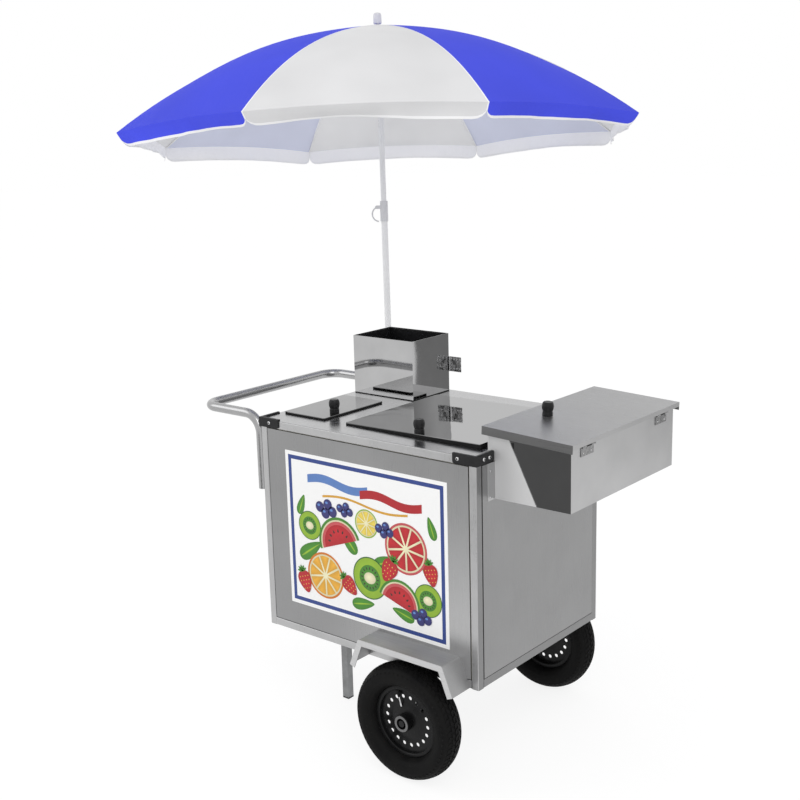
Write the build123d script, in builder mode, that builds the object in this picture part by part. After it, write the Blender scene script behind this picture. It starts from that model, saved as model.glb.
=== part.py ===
from build123d import *
import os
from math import atan, cos, radians, sin, sqrt, tan

# Serving cart for cut fruit: an insulated cabinet on two wheels and two legs, with covered wells in its
# counter, a counter container, a hinged box on its end, a push handle and a folding umbrella.
# Millimetres, +Z up. X runs along the cart from the push handle to the hinged box. The poster side
# faces -Y. The origin lies on the ground under the middle of the whole outline, umbrella open.

# Cabinet
cabinet_length = 823.0
cabinet_depth = 640.0
cabinet_height = 680.0
ground_clearance = 312.0
bar_side = 25.0
bar_round = 3.0
butt_gap = 0.1
panel_thickness = 2.0
panel_groove = 2.5
floor_thickness = 3.0
floor_setback = 8.0
counter_thickness = 1.5
board_thickness = 30.0
cut_over = 1.0

# Poster and corner caps
poster_width = 622.0
poster_height = 495.0
poster_thickness = 0.5
poster_rise = 99.0
cap_arm = 78.0
cap_thickness = 4.0
cap_drop = 25.0
cap_rise = 5.0
cap_lip = 7.0
cap_round = 3.0
cap_end_round = 8.0

# Wells and their lids
well_sheet = 1.2
well_flange = 11.0
well_round = 12.0
left_well_depth = 250.0
front_well_depth = 420.0
lid_cover = 18.0
lid_sheet = 2.0
lid_round = 5.0
gasket_band = 12.0
rest_gap = 0.3
left_lid_length = 169.0
left_lid_width = 278.0
left_lid_offset = 22.0
left_lid_setback = 84.0
left_gasket_height = 4.5
front_lid_length = 500.0
front_lid_width = 451.0
front_lid_offset = 279.0
front_lid_setback = 82.0
front_gasket_low = 4.0
front_gasket_high = 11.0

# Knobs
knob_radius = 17.0
knob_height = 40.0
knob_base_radius = 15.0
knob_groove = 1.0
knob_base_height = 10.0
knob_groove_width = 5.2
knob_groove_bevel = 1.2
knob_edge = 2.4
left_knob_from_right = 31.0
left_knob_from_front = 81.0
front_knob_from_left = 270.0
front_knob_from_front = 19.0
box_knob_from_outer = 213.0
box_knob_from_front = 197.5

# Counter container with its liner and side plate
bin_length = 250.0
bin_width = 193.0
bin_height = 195.0
bin_sheet = 1.2
bin_offset = 9.0
bin_back_gap = 12.0
bin_gasket_height = 3.0
bin_gasket_band = 10.0
liner_sheet = 1.5
liner_gap = 0.5
liner_drop = 3.0
plate_reach = 50.0
plate_lap = 25.0
plate_height = 50.0
plate_below_rim = 78.0
plate_sheet = 1.5

# Hinged box on the end
box_reach = 244.0
box_hook = 22.0
box_width = 570.0
box_setback = 85.5
box_drop = 135.5
box_sheet = 1.2
box_lid_rise = 70.1
box_lid_slope = 2.67
box_lid_overhang = 13.6
box_lid_inner_overhang = 10.2
box_lid_side_lip = 24.0
box_lid_end_lip = 14.0
box_flange_width = 33.0
box_flange_height = 107.0
hinge_width = 65.0
hinge_height = 31.0
hinge_inset = 79.0
leaf_thickness = 2.0
barrel_radius = 3.5
barrel_below_lip = 1.5
leaf_relief = 1.0
hinge_pin_radius = 1.5
hinge_pin_offset = 5.0
knuckle_gap = 0.4
pin_clearance = 0.05

# Fender
fender_reach = 86.0
fender_top_length = 309.0
fender_spread = 35.0
fender_gap = 47.0
fender_foot_rise = 3.0
fender_sheet = 2.0
fender_lip = 19.0
fender_bend = 8.0

# Wheels and axle
tyre_radius = 177.5
tyre_width = 88.0
tyre_wall = 9.0
tyre_crown_width = 74.0
tyre_shoulder_drop = 12.0
flange_clearance = 1.0
bead_radius = 96.0
bead_half_width = 24.0
rim_flange_height = 9.0
rim_sheet = 3.0
disc_inset = 5.0
disc_weld = 1.0
disc_hole_count = 18
disc_hole_radius = 6.0
disc_hole_circle = 75.0
hub_radius = 26.0
hub_length = 58.0
hub_bore_radius = 19.0
bearing_radius = 23.5
bearing_width = 14.0
bearing_clearance = 0.03
axle_radius = 10.0
axle_clearance = 0.05
axle_stub = 8.0
axle_collar_radius = 15.0
axle_collar_width = 8.0
axle_collar_gap = 0.5
wheel_place = 604.0
wheel_outset = 50.0

# Underframe
hanger_thickness = 8.0
hanger_width = 70.0
hanger_inset = 30.0
hanger_below_axle = 20.0
leg_place = 124.0
leg_front_inset = 218.0
leg_back_inset = 118.0
foot_base = 5.0
foot_wall = 2.0
foot_grip = 9.0

# Push handle
handle_diameter = 30.0
handle_wall = 1.5
handle_reach = 275.0
handle_rise = 4.0
handle_drop = 232.0
handle_bend = 60.0

# Umbrella pole, measured along its axis from the counter's level
mast_out_left = 41.1
mast_out_back = 37.3
mast_lean_left = 3.85
mast_lean_back = 3.96
socket_depth = 150.0
socket_top_drop = 10.0
socket_wall = 2.8
socket_floor = 6.0
socket_clearance = 0.2
socket_plate = 4.0
socket_plate_top_drop = 32.0
socket_plate_height = 105.0
arm_thickness = 6.0
arm_half_width = 15.0
lower_pole_radius = 11.0
lower_pole_wall = 1.2
upper_pole_radius = 9.5
upper_pole_wall = 1.2
upper_pole_inserted = 300.0
slide_clearance = 0.1
collar_radius = 13.5
collar_low = 548.0
collar_high = 618.0
collar_cap = 8.0
lever_heading = 220.0
lever_pivot_radius = 25.0
lever_pivot_drop = 21.0
lever_bulge_radius = 41.0
lever_end_radius = 18.5
lever_length = 49.0
lever_thickness = 5.0
lever_width = 8.0
lever_boss_radius = 6.0
lever_pin_radius = 2.0
lug_thickness = 4.0
lug_gap = 0.3

# Canopy, ribs, stretchers and runner
rib_count = 8
first_heading = 284.77
canopy_radius = 901.5
canopy_apex = 1214.4
canopy_rim = 855.7
canopy_bow = 54.0
canopy_sheet = 2.5
roof_depth = 2.75
canopy_gap = 1.2
canopy_bands = 10
valance_drop = 78.0
flap_corner = 60.0
flap_gap = 3.0
apex_hole_radius = 6.0
rib_radius = 2.5
rib_eye_radius = 3.4
rib_eye_width = 5.4
rib_pivot_radius = 15.0
rib_pivot_drop = 1.5
rib_rod_offset = 1.8
rib_end_gap = 6.0
crown_radius = 22.0
crown_height = 22.0
crown_core_radius = 8.0
crown_spigot = 18.0
crown_pin_radius = 1.2
pin_seat = 1.0
slot_clearance = 0.5
finial_stem_radius = 5.0
finial_radius = 8.0
finial_height = 24.0
stretcher_radius = 2.0
stretcher_length = 285.0
stretcher_reach = 270.0
stretcher_gap = 0.8
stretcher_eye_radius = 2.8
stretcher_eye_width = 4.6
runner_pivot_radius = 19.5
runner_wall = 3.4
runner_flange_radius = 25.0
runner_flange_height = 12.0
runner_skirt = 42.0
runner_pin_radius = 1.0

# The pole's axis, and the canopy's corners along each rib
mast_axis = Vector(-tan(radians(mast_lean_left)), tan(radians(mast_lean_back)), 1).normalized()
mast_across = Vector(mast_axis.Z, 0, -mast_axis.X).normalized()
mast_along = mast_axis.cross(mast_across)
headings = [first_heading + 360 / rib_count * index for index in range(rib_count)]


def outward(heading):
    return mast_across * cos(radians(heading)) + mast_along * sin(radians(heading))


def from_foot(heading, radius, height):
    return outward(heading) * radius + mast_axis * height


hem_height = canopy_rim - valance_drop
corners = [
    from_foot(heading, canopy_radius, height)
    for heading in headings
    for height in (canopy_rim, hem_height)
]
corner_x = [corner.X - mast_out_left for corner in corners]
corner_y = [corner.Y + cabinet_depth + mast_out_back for corner in corners]
low_x = min(-handle_reach - handle_diameter / 2, *corner_x)
high_x = max(cabinet_length + box_reach + box_lid_overhang, *corner_x)
low_y = min(-wheel_outset - tyre_width / 2, *corner_y)
high_y = max(cabinet_depth + wheel_outset + tyre_width / 2, *corner_y)

# Faces of the cabinet
left = -(low_x + high_x) / 2
right = left + cabinet_length
front = -(low_y + high_y) / 2
back = front + cabinet_depth
bottom = ground_clearance
top = bottom + cabinet_height
frame_top = top - counter_thickness
middle_y = (front + back) / 2

os.makedirs("parts", exist_ok=True)


def save(piece, name):
    piece.part.label = name
    export_step(piece.part, f"parts/{name}.step")


def block(x, y, z, mode=Mode.ADD):
    with Locations(((x[0] + x[1]) / 2, (y[0] + y[1]) / 2, (z[0] + z[1]) / 2)):
        Box(x[1] - x[0], y[1] - y[0], z[1] - z[0], mode=mode)


def grown(span, amount):
    return span[0] - amount, span[1] + amount


# Frame: four posts and eight rails butted against them
post_x = [(left, left + bar_side), (right - bar_side, right)]
post_y = [(front, front + bar_side), (back - bar_side, back)]
rail_z = [(bottom, bottom + bar_side), (frame_top - bar_side, frame_top)]
inner_x = (left + bar_side, right - bar_side)
inner_y = (front + bar_side, back - bar_side)
with BuildPart() as frame_profiles:
    for x in post_x:
        for y in post_y:
            block(x, y, (bottom, frame_top))
    for z in rail_z:
        for y in post_y:
            block(grown(inner_x, -butt_gap), y, z)
        for x in post_x:
            block(x, grown(inner_y, -butt_gap), z)
    long_edges = frame_profiles.edges().filter_by(lambda edge: edge.length > 2 * bar_side)
    fillet(long_edges, bar_round)
save(frame_profiles, "frame_profiles")

# Panels lie flush with the profile's faces, inside a groove
panel_x = grown(inner_x, -panel_groove)
panel_y = grown(inner_y, -panel_groove)
panel_z = (bottom + bar_side + panel_groove, frame_top - bar_side - panel_groove)
with BuildPart() as side_panels:
    block(panel_x, (front, front + panel_thickness), panel_z)
    block(panel_x, (back - panel_thickness, back), panel_z)
save(side_panels, "side_panels")

with BuildPart() as end_panels:
    block((left, left + panel_thickness), panel_y, panel_z)
    block((right - panel_thickness, right), panel_y, panel_z)
save(end_panels, "end_panels")

floor_z = (bottom + bar_side, bottom + bar_side + floor_thickness)
with BuildPart() as floor_panel:
    block(inner_x, (front + floor_setback, back - floor_setback), floor_z)
save(floor_panel, "floor_panel")

# Insulation boards stand on the floor behind the panels
lining_x = (left + panel_thickness, right - panel_thickness)
lining_y = (front + panel_thickness, back - panel_thickness)
lining_z = (floor_z[1], frame_top - bar_side)
with BuildPart() as insulation:
    block(inner_x, lining_y, lining_z)
    block(lining_x, inner_y, lining_z)
    block(
        grown(lining_x, -board_thickness),
        grown(lining_y, -board_thickness),
        (lining_z[0] + board_thickness, lining_z[1] + cut_over),
        Mode.SUBTRACT,
    )
save(insulation, "insulation")

# Lids' footprints, and the wells' openings inside them
left_lid_x = (left + left_lid_offset, left + left_lid_offset + left_lid_length)
left_lid_y = (front + left_lid_setback, front + left_lid_setback + left_lid_width)
front_lid_x = (left + front_lid_offset, left + front_lid_offset + front_lid_length)
front_lid_y = (front + front_lid_setback, front + front_lid_setback + front_lid_width)
wells = [(left_lid_x, left_lid_y, left_well_depth), (front_lid_x, front_lid_y, front_well_depth)]


def plan(x, y, z):
    return Plane(((x[0] + x[1]) / 2, (y[0] + y[1]) / 2, z))


with BuildPart() as countertop:
    block((left, right), (front, back), (frame_top, top))
    for x, y, depth in wells:
        with BuildSketch(plan(x, y, top)):
            RectangleRounded(x[1] - x[0] - 2 * lid_cover, y[1] - y[0] - 2 * lid_cover, well_round)
        extrude(amount=-counter_thickness, mode=Mode.SUBTRACT)
save(countertop, "countertop")

# Each well hangs by its flange from the countertop's underside
with BuildPart() as ice_wells:
    for x, y, depth in wells:
        inside_x = x[1] - x[0] - 2 * lid_cover
        inside_y = y[1] - y[0] - 2 * lid_cover
        with BuildSketch(plan(x, y, frame_top)):
            RectangleRounded(inside_x + 2 * well_flange, inside_y + 2 * well_flange, well_round + well_flange)
        extrude(amount=-well_sheet)
        with BuildSketch(plan(x, y, frame_top)):
            RectangleRounded(inside_x + 2 * well_sheet, inside_y + 2 * well_sheet, well_round + well_sheet)
        extrude(amount=-depth)
        with BuildSketch(plan(x, y, frame_top)):
            RectangleRounded(inside_x, inside_y, well_round)
        extrude(amount=well_sheet - depth, mode=Mode.SUBTRACT)
save(ice_wells, "ice_wells")

poster_x = ((left + right - poster_width) / 2, (left + right + poster_width) / 2)
with BuildPart() as poster:
    block(
        poster_x,
        (front - poster_thickness, front),
        (bottom + poster_rise, bottom + poster_rise + poster_height),
    )
save(poster, "poster")

# Corner caps wrap the counter's free corners; the hinged box covers the fourth
cap_z = (top - cap_drop, top + cap_rise)
cap_corners = [(left, front, 1, 1), (right, front, -1, 1), (left, back, 1, -1)]
with BuildPart() as corner_caps:
    for x, y, inward_x, inward_y in cap_corners:
        outer_x = x - inward_x * cap_thickness
        outer_y = y - inward_y * cap_thickness
        end_x = x + inward_x * cap_arm
        end_y = y + inward_y * cap_arm
        block(sorted((outer_x, end_x)), sorted((outer_y, y)), cap_z)
        block(sorted((outer_x, x)), sorted((outer_y, end_y)), cap_z)
        block(sorted((outer_x, end_x)), sorted((outer_y, y + inward_y * cap_lip)), (top, cap_z[1]))
        block(sorted((outer_x, x + inward_x * cap_lip)), sorted((outer_y, end_y)), (top, cap_z[1]))
    rim_edges = corner_caps.edges().group_by(Axis.Z)[-1].filter_by(lambda edge: edge.length > cap_arm / 2)
    fillet(rim_edges, cap_round)
    arm_ends = corner_caps.edges().filter_by(
        lambda edge: abs(edge.center().Z - cap_z[0]) < 0.01 and abs(edge.length - cap_thickness) < 0.01
    )
    fillet(arm_ends, cap_end_round)
save(corner_caps, "corner_caps")


# A lid is a plate on a gasket band; the front one leans on a band that rises to one end
def gasket(x, y, height, seat):
    with BuildPart() as band:
        with BuildSketch(plan(x, y, top + rest_gap)):
            RectangleRounded(x[1] - x[0], y[1] - y[0], lid_round)
            RectangleRounded(
                x[1] - x[0] - 2 * gasket_band, y[1] - y[0] - 2 * gasket_band, lid_round, mode=Mode.SUBTRACT
            )
        extrude(amount=height + lid_sheet)
        split(bisect_by=seat, keep=Keep.BOTTOM)
    return band


def lid_plate(length, width, seat):
    with BuildPart() as plate:
        with BuildSketch(seat):
            with Locations((length / 2, 0)):
                RectangleRounded(length, width, lid_round)
        extrude(amount=lid_sheet)
    return plate


def knob(seat):
    barrel_low = knob_base_height + knob_groove_width
    barrel_high = knob_height - knob_edge
    with BuildPart() as grip:
        with BuildSketch(Plane(seat.origin, x_dir=seat.x_dir, z_dir=-seat.y_dir)):
            with BuildLine():
                Polyline(
                    (knob_base_radius, barrel_low),
                    (knob_base_radius - knob_groove, barrel_low - knob_groove_bevel),
                    (knob_base_radius - knob_groove, knob_base_height + knob_groove_bevel),
                    (knob_base_radius, knob_base_height),
                    (knob_base_radius, 0),
                    (0, 0),
                    (0, knob_height),
                    (knob_base_radius - knob_edge, knob_height),
                    (knob_base_radius, barrel_high),
                )
                ThreePointArc(
                    (knob_base_radius, barrel_high),
                    (knob_radius, (barrel_low + barrel_high) / 2),
                    (knob_base_radius, barrel_low),
                )
            make_face()
        revolve(axis=Axis(seat.origin, seat.z_dir))
    return grip


def raised(seat, x, y, height):
    return Plane(seat.from_local_coords(Vector(x, y, height)), x_dir=seat.x_dir, z_dir=seat.z_dir)


left_seat = Plane((left_lid_x[0], (left_lid_y[0] + left_lid_y[1]) / 2, top + rest_gap + left_gasket_height))
save(gasket(left_lid_x, left_lid_y, left_gasket_height, left_seat), "left_lid_gasket")
save(lid_plate(left_lid_length, left_lid_width, left_seat), "left_lid")
left_knob_seat = raised(
    left_seat, left_lid_length - left_knob_from_right, left_knob_from_front - left_lid_width / 2, lid_sheet
)
save(knob(left_knob_seat), "left_lid_knob")

front_tilt = atan((front_gasket_high - front_gasket_low) / front_lid_length)
front_seat = Plane(
    (front_lid_x[0], (front_lid_y[0] + front_lid_y[1]) / 2, top + rest_gap + front_gasket_low),
    x_dir=(cos(front_tilt), 0, sin(front_tilt)),
    z_dir=(-sin(front_tilt), 0, cos(front_tilt)),
)
save(gasket(front_lid_x, front_lid_y, front_gasket_high, front_seat), "front_lid_gasket")
save(lid_plate(front_lid_length / cos(front_tilt), front_lid_width, front_seat), "front_lid")
front_knob_seat = raised(
    front_seat, front_knob_from_left, front_knob_from_front - front_lid_width / 2, lid_sheet
)
save(knob(front_knob_seat), "front_lid_knob")

# Counter container on its gasket, with a lift-out liner and a plate fixed behind its rear edge
bin_x = (left + bin_offset, left + bin_offset + bin_length)
bin_y = (back - bin_back_gap - bin_width, back - bin_back_gap)
bin_z = (top + bin_gasket_height, top + bin_height)
with BuildPart() as container_gasket:
    block(bin_x, bin_y, (top, bin_z[0]))
    block(grown(bin_x, -bin_gasket_band), grown(bin_y, -bin_gasket_band), (top, bin_z[0]), Mode.SUBTRACT)
save(container_gasket, "container_gasket")

with BuildPart() as container:
    block(bin_x, bin_y, bin_z)
    block(
        grown(bin_x, -bin_sheet), grown(bin_y, -bin_sheet), (bin_z[0] + bin_sheet, bin_z[1]), Mode.SUBTRACT
    )
save(container, "container")

liner_x = grown(bin_x, -bin_sheet - liner_gap)
liner_y = grown(bin_y, -bin_sheet - liner_gap)
liner_z = (bin_z[0] + bin_sheet + rest_gap, bin_z[1] - liner_drop)
with BuildPart() as container_liner:
    block(liner_x, liner_y, liner_z)
    block(
        grown(liner_x, -liner_sheet),
        grown(liner_y, -liner_sheet),
        (liner_z[0] + liner_sheet, liner_z[1]),
        Mode.SUBTRACT,
    )
save(container_liner, "container_liner")

plate_z = (bin_z[1] - plate_below_rim - plate_height, bin_z[1] - plate_below_rim)
with BuildPart() as container_plate:
    block((bin_x[1] - plate_lap, bin_x[1] + plate_reach), (bin_y[1], bin_y[1] + plate_sheet), plate_z)
save(container_plate, "container_plate")

# Hinged box on the end; its open top follows the lid's slope and its inner edge rests on the counter
box_y = (front + box_setback, front + box_setback + box_width)
box_low = top - box_drop
box_outer = right + box_reach
slope = radians(box_lid_slope)
lid_inner = right - box_hook - box_lid_inner_overhang
box_lid_length = (box_outer + box_lid_overhang - lid_inner) / cos(slope)
box_lid_width = box_width + 2 * box_lid_overhang
box_middle_y = (box_y[0] + box_y[1]) / 2
lid_seat = Plane(
    (lid_inner, box_middle_y, top + box_lid_rise),
    x_dir=(cos(slope), 0, -sin(slope)),
    z_dir=(sin(slope), 0, cos(slope)),
)
box_brim = lid_seat.offset(-box_sheet - rest_gap)
with BuildPart() as side_box:
    block((right, box_outer), box_y, (box_low, top + box_lid_rise))
    block((right - box_hook, right), box_y, (top, top + box_lid_rise))
    block(
        (right + box_sheet, box_outer - box_sheet),
        grown(box_y, -box_sheet),
        (box_low + box_sheet, top + box_lid_rise),
        Mode.SUBTRACT,
    )
    block(
        (right - box_hook + box_sheet, right + box_sheet),
        grown(box_y, -box_sheet),
        (top + box_sheet, top + box_lid_rise),
        Mode.SUBTRACT,
    )
    split(bisect_by=box_brim, keep=Keep.BOTTOM)
    block(
        (right, right + box_sheet),
        (box_y[0] - box_flange_width, box_y[0]),
        (box_low, box_low + box_flange_height),
    )
save(side_box, "side_box")

with BuildPart() as side_box_lid:
    with BuildSketch(lid_seat):
        with Locations((box_lid_length / 2, 0)):
            Rectangle(box_lid_length, box_lid_width)
    extrude(amount=-box_sheet)
    for side in (-1, 1):
        with BuildSketch(lid_seat):
            with Locations((box_lid_length / 2, side * (box_lid_width - box_sheet) / 2)):
                Rectangle(box_lid_length, box_sheet)
        extrude(amount=-box_lid_side_lip)
    for along in (box_sheet / 2, box_lid_length - box_sheet / 2):
        with BuildSketch(lid_seat):
            with Locations((along, 0)):
                Rectangle(box_sheet, box_lid_width)
        extrude(amount=-box_lid_end_lip)
save(side_box_lid, "side_box_lid")
box_knob_seat = raised(
    lid_seat, box_lid_length - box_knob_from_outer, box_knob_from_front - box_width / 2, 0
)
save(knob(box_knob_seat), "side_box_lid_knob")

# Two hinges join the box's outer wall to the lid's underside; the pin belongs to the lid's leaf
pin_x = box_outer + hinge_pin_offset
lip_end = lid_seat.from_local_coords(Vector(box_lid_length, 0, -box_lid_end_lip))
pin_z = lip_end.Z - barrel_radius - barrel_below_lip
hinge_y = [box_y[0] + hinge_inset, box_y[1] - hinge_inset]
centre_half = hinge_width / 5
outer_knuckle = hinge_width / 2 - centre_half - knuckle_gap
leaf_z = (pin_z + barrel_radius - hinge_height, pin_z)
with BuildPart() as box_hinge_leaves:
    for y in hinge_y:
        block(
            (box_outer, box_outer + leaf_thickness),
            (y - hinge_width / 2, y + hinge_width / 2),
            (leaf_z[0], pin_z - barrel_radius - leaf_relief),
        )
        for side in (-1, 1):
            near = y + side * (centre_half + knuckle_gap)
            far = y + side * hinge_width / 2
            knuckle = sorted((near, far))
            block((box_outer, box_outer + leaf_thickness), knuckle, leaf_z)
            with BuildSketch(Plane((pin_x, knuckle[0], pin_z), x_dir=(1, 0, 0), z_dir=(0, 1, 0))):
                Circle(barrel_radius)
            extrude(amount=outer_knuckle)
        with BuildSketch(Plane((pin_x, y, pin_z), x_dir=(1, 0, 0), z_dir=(0, 1, 0))):
            Circle(hinge_pin_radius + pin_clearance)
        extrude(amount=hinge_width, both=True, mode=Mode.SUBTRACT)
save(box_hinge_leaves, "box_hinge_leaves")

pin_local = lid_seat.to_local_coords(Vector(pin_x, box_middle_y, pin_z))
with BuildPart() as lid_hinge_leaves:
    for y in hinge_y:
        with BuildSketch(Plane((pin_x, y, pin_z), x_dir=(1, 0, 0), z_dir=(0, 1, 0))):
            Circle(barrel_radius)
        extrude(amount=centre_half, both=True)
        with BuildSketch(Plane((pin_x, y, pin_z), x_dir=(1, 0, 0), z_dir=(0, 1, 0))):
            Circle(hinge_pin_radius)
        extrude(amount=hinge_width / 2, both=True)
        with BuildSketch(lid_seat.offset(-box_sheet)):
            with Locations((pin_local.X, y - box_middle_y)):
                Rectangle(leaf_thickness, 2 * centre_half)
        extrude(amount=pin_local.Z + box_sheet)
save(lid_hinge_leaves, "lid_hinge_leaves")

# Fender: a bent sheet over the front wheel with a lip turned down along its outer edge
wheel_x = left + wheel_place
axle_z = tyre_radius
fender_top = axle_z + tyre_radius + fender_gap
fender_foot = bottom + fender_foot_rise
half_top = fender_top_length / 2
fender_line = [
    (wheel_x - half_top - fender_spread, fender_foot),
    (wheel_x - half_top, fender_top),
    (wheel_x + half_top, fender_top),
    (wheel_x + half_top + fender_spread, fender_foot),
]
fender_strips = [(fender_sheet, 0, fender_reach), (fender_lip, fender_reach - fender_sheet, fender_reach)]
with BuildPart() as fender:
    for depth, near, far in fender_strips:
        with BuildSketch(Plane((0, front - near, 0), x_dir=(1, 0, 0), z_dir=(0, -1, 0))):
            with BuildLine():
                bent = FilletPolyline(*fender_line, radius=fender_bend)
                offset(bent, amount=depth, side=Side.RIGHT)
            make_face()
        extrude(amount=far - near)
save(fender, "fender")

# Wheels: profiles turned about the axle, measured outward from each wheel's middle plane
hub_face = hub_length / 2 - disc_inset
hub_inner = -hub_length / 2 - disc_inset
wheels = [("front", front - wheel_outset, -1), ("rear", back + wheel_outset, 1)]
flange_radius = bead_radius + rim_flange_height
rim_inner = bead_radius - rim_sheet
crown_half = tyre_crown_width / 2
bead_top = flange_radius + flange_clearance
shoulder = tyre_radius - tyre_shoulder_drop
for name, wheel_y, away in wheels:
    section = Plane((wheel_x, wheel_y, axle_z), x_dir=(1, 0, 0), z_dir=(0, 0, away))
    spin = Axis((wheel_x, wheel_y, axle_z), (0, 1, 0))
    belly = (flange_radius + shoulder) / 2
    with BuildPart() as tyre:
        with BuildSketch(section):
            with BuildLine():
                Polyline((bead_radius, bead_half_width), (bead_top, bead_half_width))
                ThreePointArc(
                    (bead_top, bead_half_width), (belly, tyre_width / 2), (shoulder, crown_half)
                )
                ThreePointArc((shoulder, crown_half), (tyre_radius, 0), (shoulder, -crown_half))
                ThreePointArc(
                    (shoulder, -crown_half), (belly, -tyre_width / 2), (bead_top, -bead_half_width)
                )
                Polyline(
                    (bead_top, -bead_half_width),
                    (bead_radius, -bead_half_width),
                    (bead_radius, tyre_wall - bead_half_width),
                    (bead_top, tyre_wall - bead_half_width),
                )
                ThreePointArc(
                    (bead_top, tyre_wall - bead_half_width),
                    (belly, tyre_wall - tyre_width / 2),
                    (shoulder - tyre_wall, tyre_wall - crown_half),
                )
                ThreePointArc(
                    (shoulder - tyre_wall, tyre_wall - crown_half),
                    (tyre_radius - tyre_wall, 0),
                    (shoulder - tyre_wall, crown_half - tyre_wall),
                )
                ThreePointArc(
                    (shoulder - tyre_wall, crown_half - tyre_wall),
                    (belly, tyre_width / 2 - tyre_wall),
                    (bead_top, bead_half_width - tyre_wall),
                )
                Polyline(
                    (bead_top, bead_half_width - tyre_wall),
                    (bead_radius, bead_half_width - tyre_wall),
                    (bead_radius, bead_half_width),
                )
            make_face()
        revolve(axis=spin)
    save(tyre, f"{name}_tyre")

    rim_half = bead_half_width + rim_sheet
    with BuildPart() as rim:
        with BuildSketch(section):
            with BuildLine():
                Polyline(
                    (bead_radius, -bead_half_width),
                    (flange_radius, -bead_half_width),
                    (flange_radius, -rim_half),
                    (rim_inner, -rim_half),
                    (rim_inner, rim_half),
                    (flange_radius, rim_half),
                    (flange_radius, bead_half_width),
                    (bead_radius, bead_half_width),
                    close=True,
                )
            make_face()
            with Locations(((hub_bore_radius + rim_inner + disc_weld) / 2, -disc_inset)):
                Rectangle(rim_inner - hub_bore_radius + disc_weld, rim_sheet)
            with Locations(((hub_bore_radius + hub_radius) / 2, -disc_inset)):
                Rectangle(hub_radius - hub_bore_radius, hub_length)
            seat_radius = bearing_radius + bearing_clearance
            for place in (hub_face - bearing_width / 2, hub_inner + bearing_width / 2):
                with Locations(((hub_bore_radius + seat_radius) / 2, place)):
                    Rectangle(seat_radius - hub_bore_radius, bearing_width, mode=Mode.SUBTRACT)
        revolve(axis=spin)
        with BuildSketch(Plane((wheel_x, wheel_y, axle_z), x_dir=(1, 0, 0), z_dir=(0, 1, 0))):
            with PolarLocations(disc_hole_circle, disc_hole_count):
                Circle(disc_hole_radius)
        extrude(amount=disc_inset + rim_sheet, both=True, mode=Mode.SUBTRACT)
    save(rim, f"{name}_rim")

    bearing_bore = axle_radius + axle_clearance
    with BuildPart() as bearings:
        with BuildSketch(section):
            for place in (hub_face - bearing_width / 2, hub_inner + bearing_width / 2):
                with Locations(((bearing_bore + bearing_radius) / 2, place)):
                    Rectangle(bearing_radius - bearing_bore, bearing_width)
        revolve(axis=spin)
    save(bearings, f"{name}_bearings")

with BuildPart() as axle:
    axle_half = cabinet_depth / 2 + wheel_outset + hub_face + axle_stub
    with BuildSketch(Plane((wheel_x, middle_y, axle_z), x_dir=(1, 0, 0), z_dir=(0, 1, 0))):
        Circle(axle_radius)
    extrude(amount=axle_half, both=True)
    collar_end = cabinet_depth / 2 + wheel_outset + hub_inner - axle_collar_gap
    for side in (-1, 1):
        start = middle_y + side * (collar_end - axle_collar_width)
        with BuildSketch(Plane((wheel_x, start, axle_z), x_dir=(1, 0, 0), z_dir=(0, side, 0))):
            Circle(axle_collar_radius)
        extrude(amount=axle_collar_width)
save(axle, "axle")

# Underframe: two crossbars between the bottom rails, one with the axle's hangers, the other with the legs
leg_x = left + leg_place
leg_y = [front + leg_front_inset, back - leg_back_inset]
bar_half = bar_side / 2
bar_level = (bottom, bottom + bar_side)
foot_plug = bar_half - foot_wall
with BuildPart() as underframe:
    block((wheel_x - bar_half, wheel_x + bar_half), inner_y, bar_level)
    for y in (front + hanger_inset, back - hanger_inset - hanger_thickness):
        block(
            (wheel_x - hanger_width / 2, wheel_x + hanger_width / 2),
            (y, y + hanger_thickness),
            (axle_z - hanger_below_axle, bottom),
        )
    with BuildSketch(Plane((wheel_x, middle_y, axle_z), x_dir=(1, 0, 0), z_dir=(0, 1, 0))):
        Circle(axle_radius)
    extrude(amount=cabinet_depth, both=True, mode=Mode.SUBTRACT)
    block((leg_x - bar_half, leg_x + bar_half), inner_y, bar_level)
    for y in leg_y:
        block((leg_x - bar_half, leg_x + bar_half), (y - bar_half, y + bar_half), (foot_base, bottom))
        block(
            (leg_x - foot_plug, leg_x + foot_plug),
            (y - foot_plug, y + foot_plug),
            (foot_base, foot_base + foot_grip),
            Mode.SUBTRACT,
        )
save(underframe, "underframe")

with BuildPart() as leg_feet:
    for y in leg_y:
        block((leg_x - bar_half, leg_x + bar_half), (y - bar_half, y + bar_half), (0, foot_base))
        block(
            (leg_x - foot_plug, leg_x + foot_plug),
            (y - foot_plug, y + foot_plug),
            (foot_base, foot_base + foot_grip),
        )
save(leg_feet, "leg_feet")

# Push handle: one bent tube, standing on the two posts of the left end
handle_x = left - handle_diameter / 2
handle_end_x = left - handle_reach
handle_z = top + handle_rise
handle_y = (front + bar_half, back - bar_half)
handle_line = [
    (handle_x, handle_y[0], top - handle_drop),
    (handle_x, handle_y[0], handle_z),
    (handle_end_x, handle_y[0], handle_z),
    (handle_end_x, handle_y[1], handle_z),
    (handle_x, handle_y[1], handle_z),
    (handle_x, handle_y[1], top - handle_drop),
]
with BuildPart() as push_handle:
    with BuildLine() as handle_path:
        FilletPolyline(*handle_line, radius=handle_bend)
    with BuildSketch(Plane(handle_line[0])):
        Circle(handle_diameter / 2)
        Circle(handle_diameter / 2 - handle_wall, mode=Mode.SUBTRACT)
    sweep(path=handle_path.wires()[0])
save(push_handle, "push_handle")

# Umbrella pole: heights run along the leaning axis from the counter's level
mast = Plane((left - mast_out_left, back + mast_out_back, top), x_dir=mast_across, z_dir=mast_axis)


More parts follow.
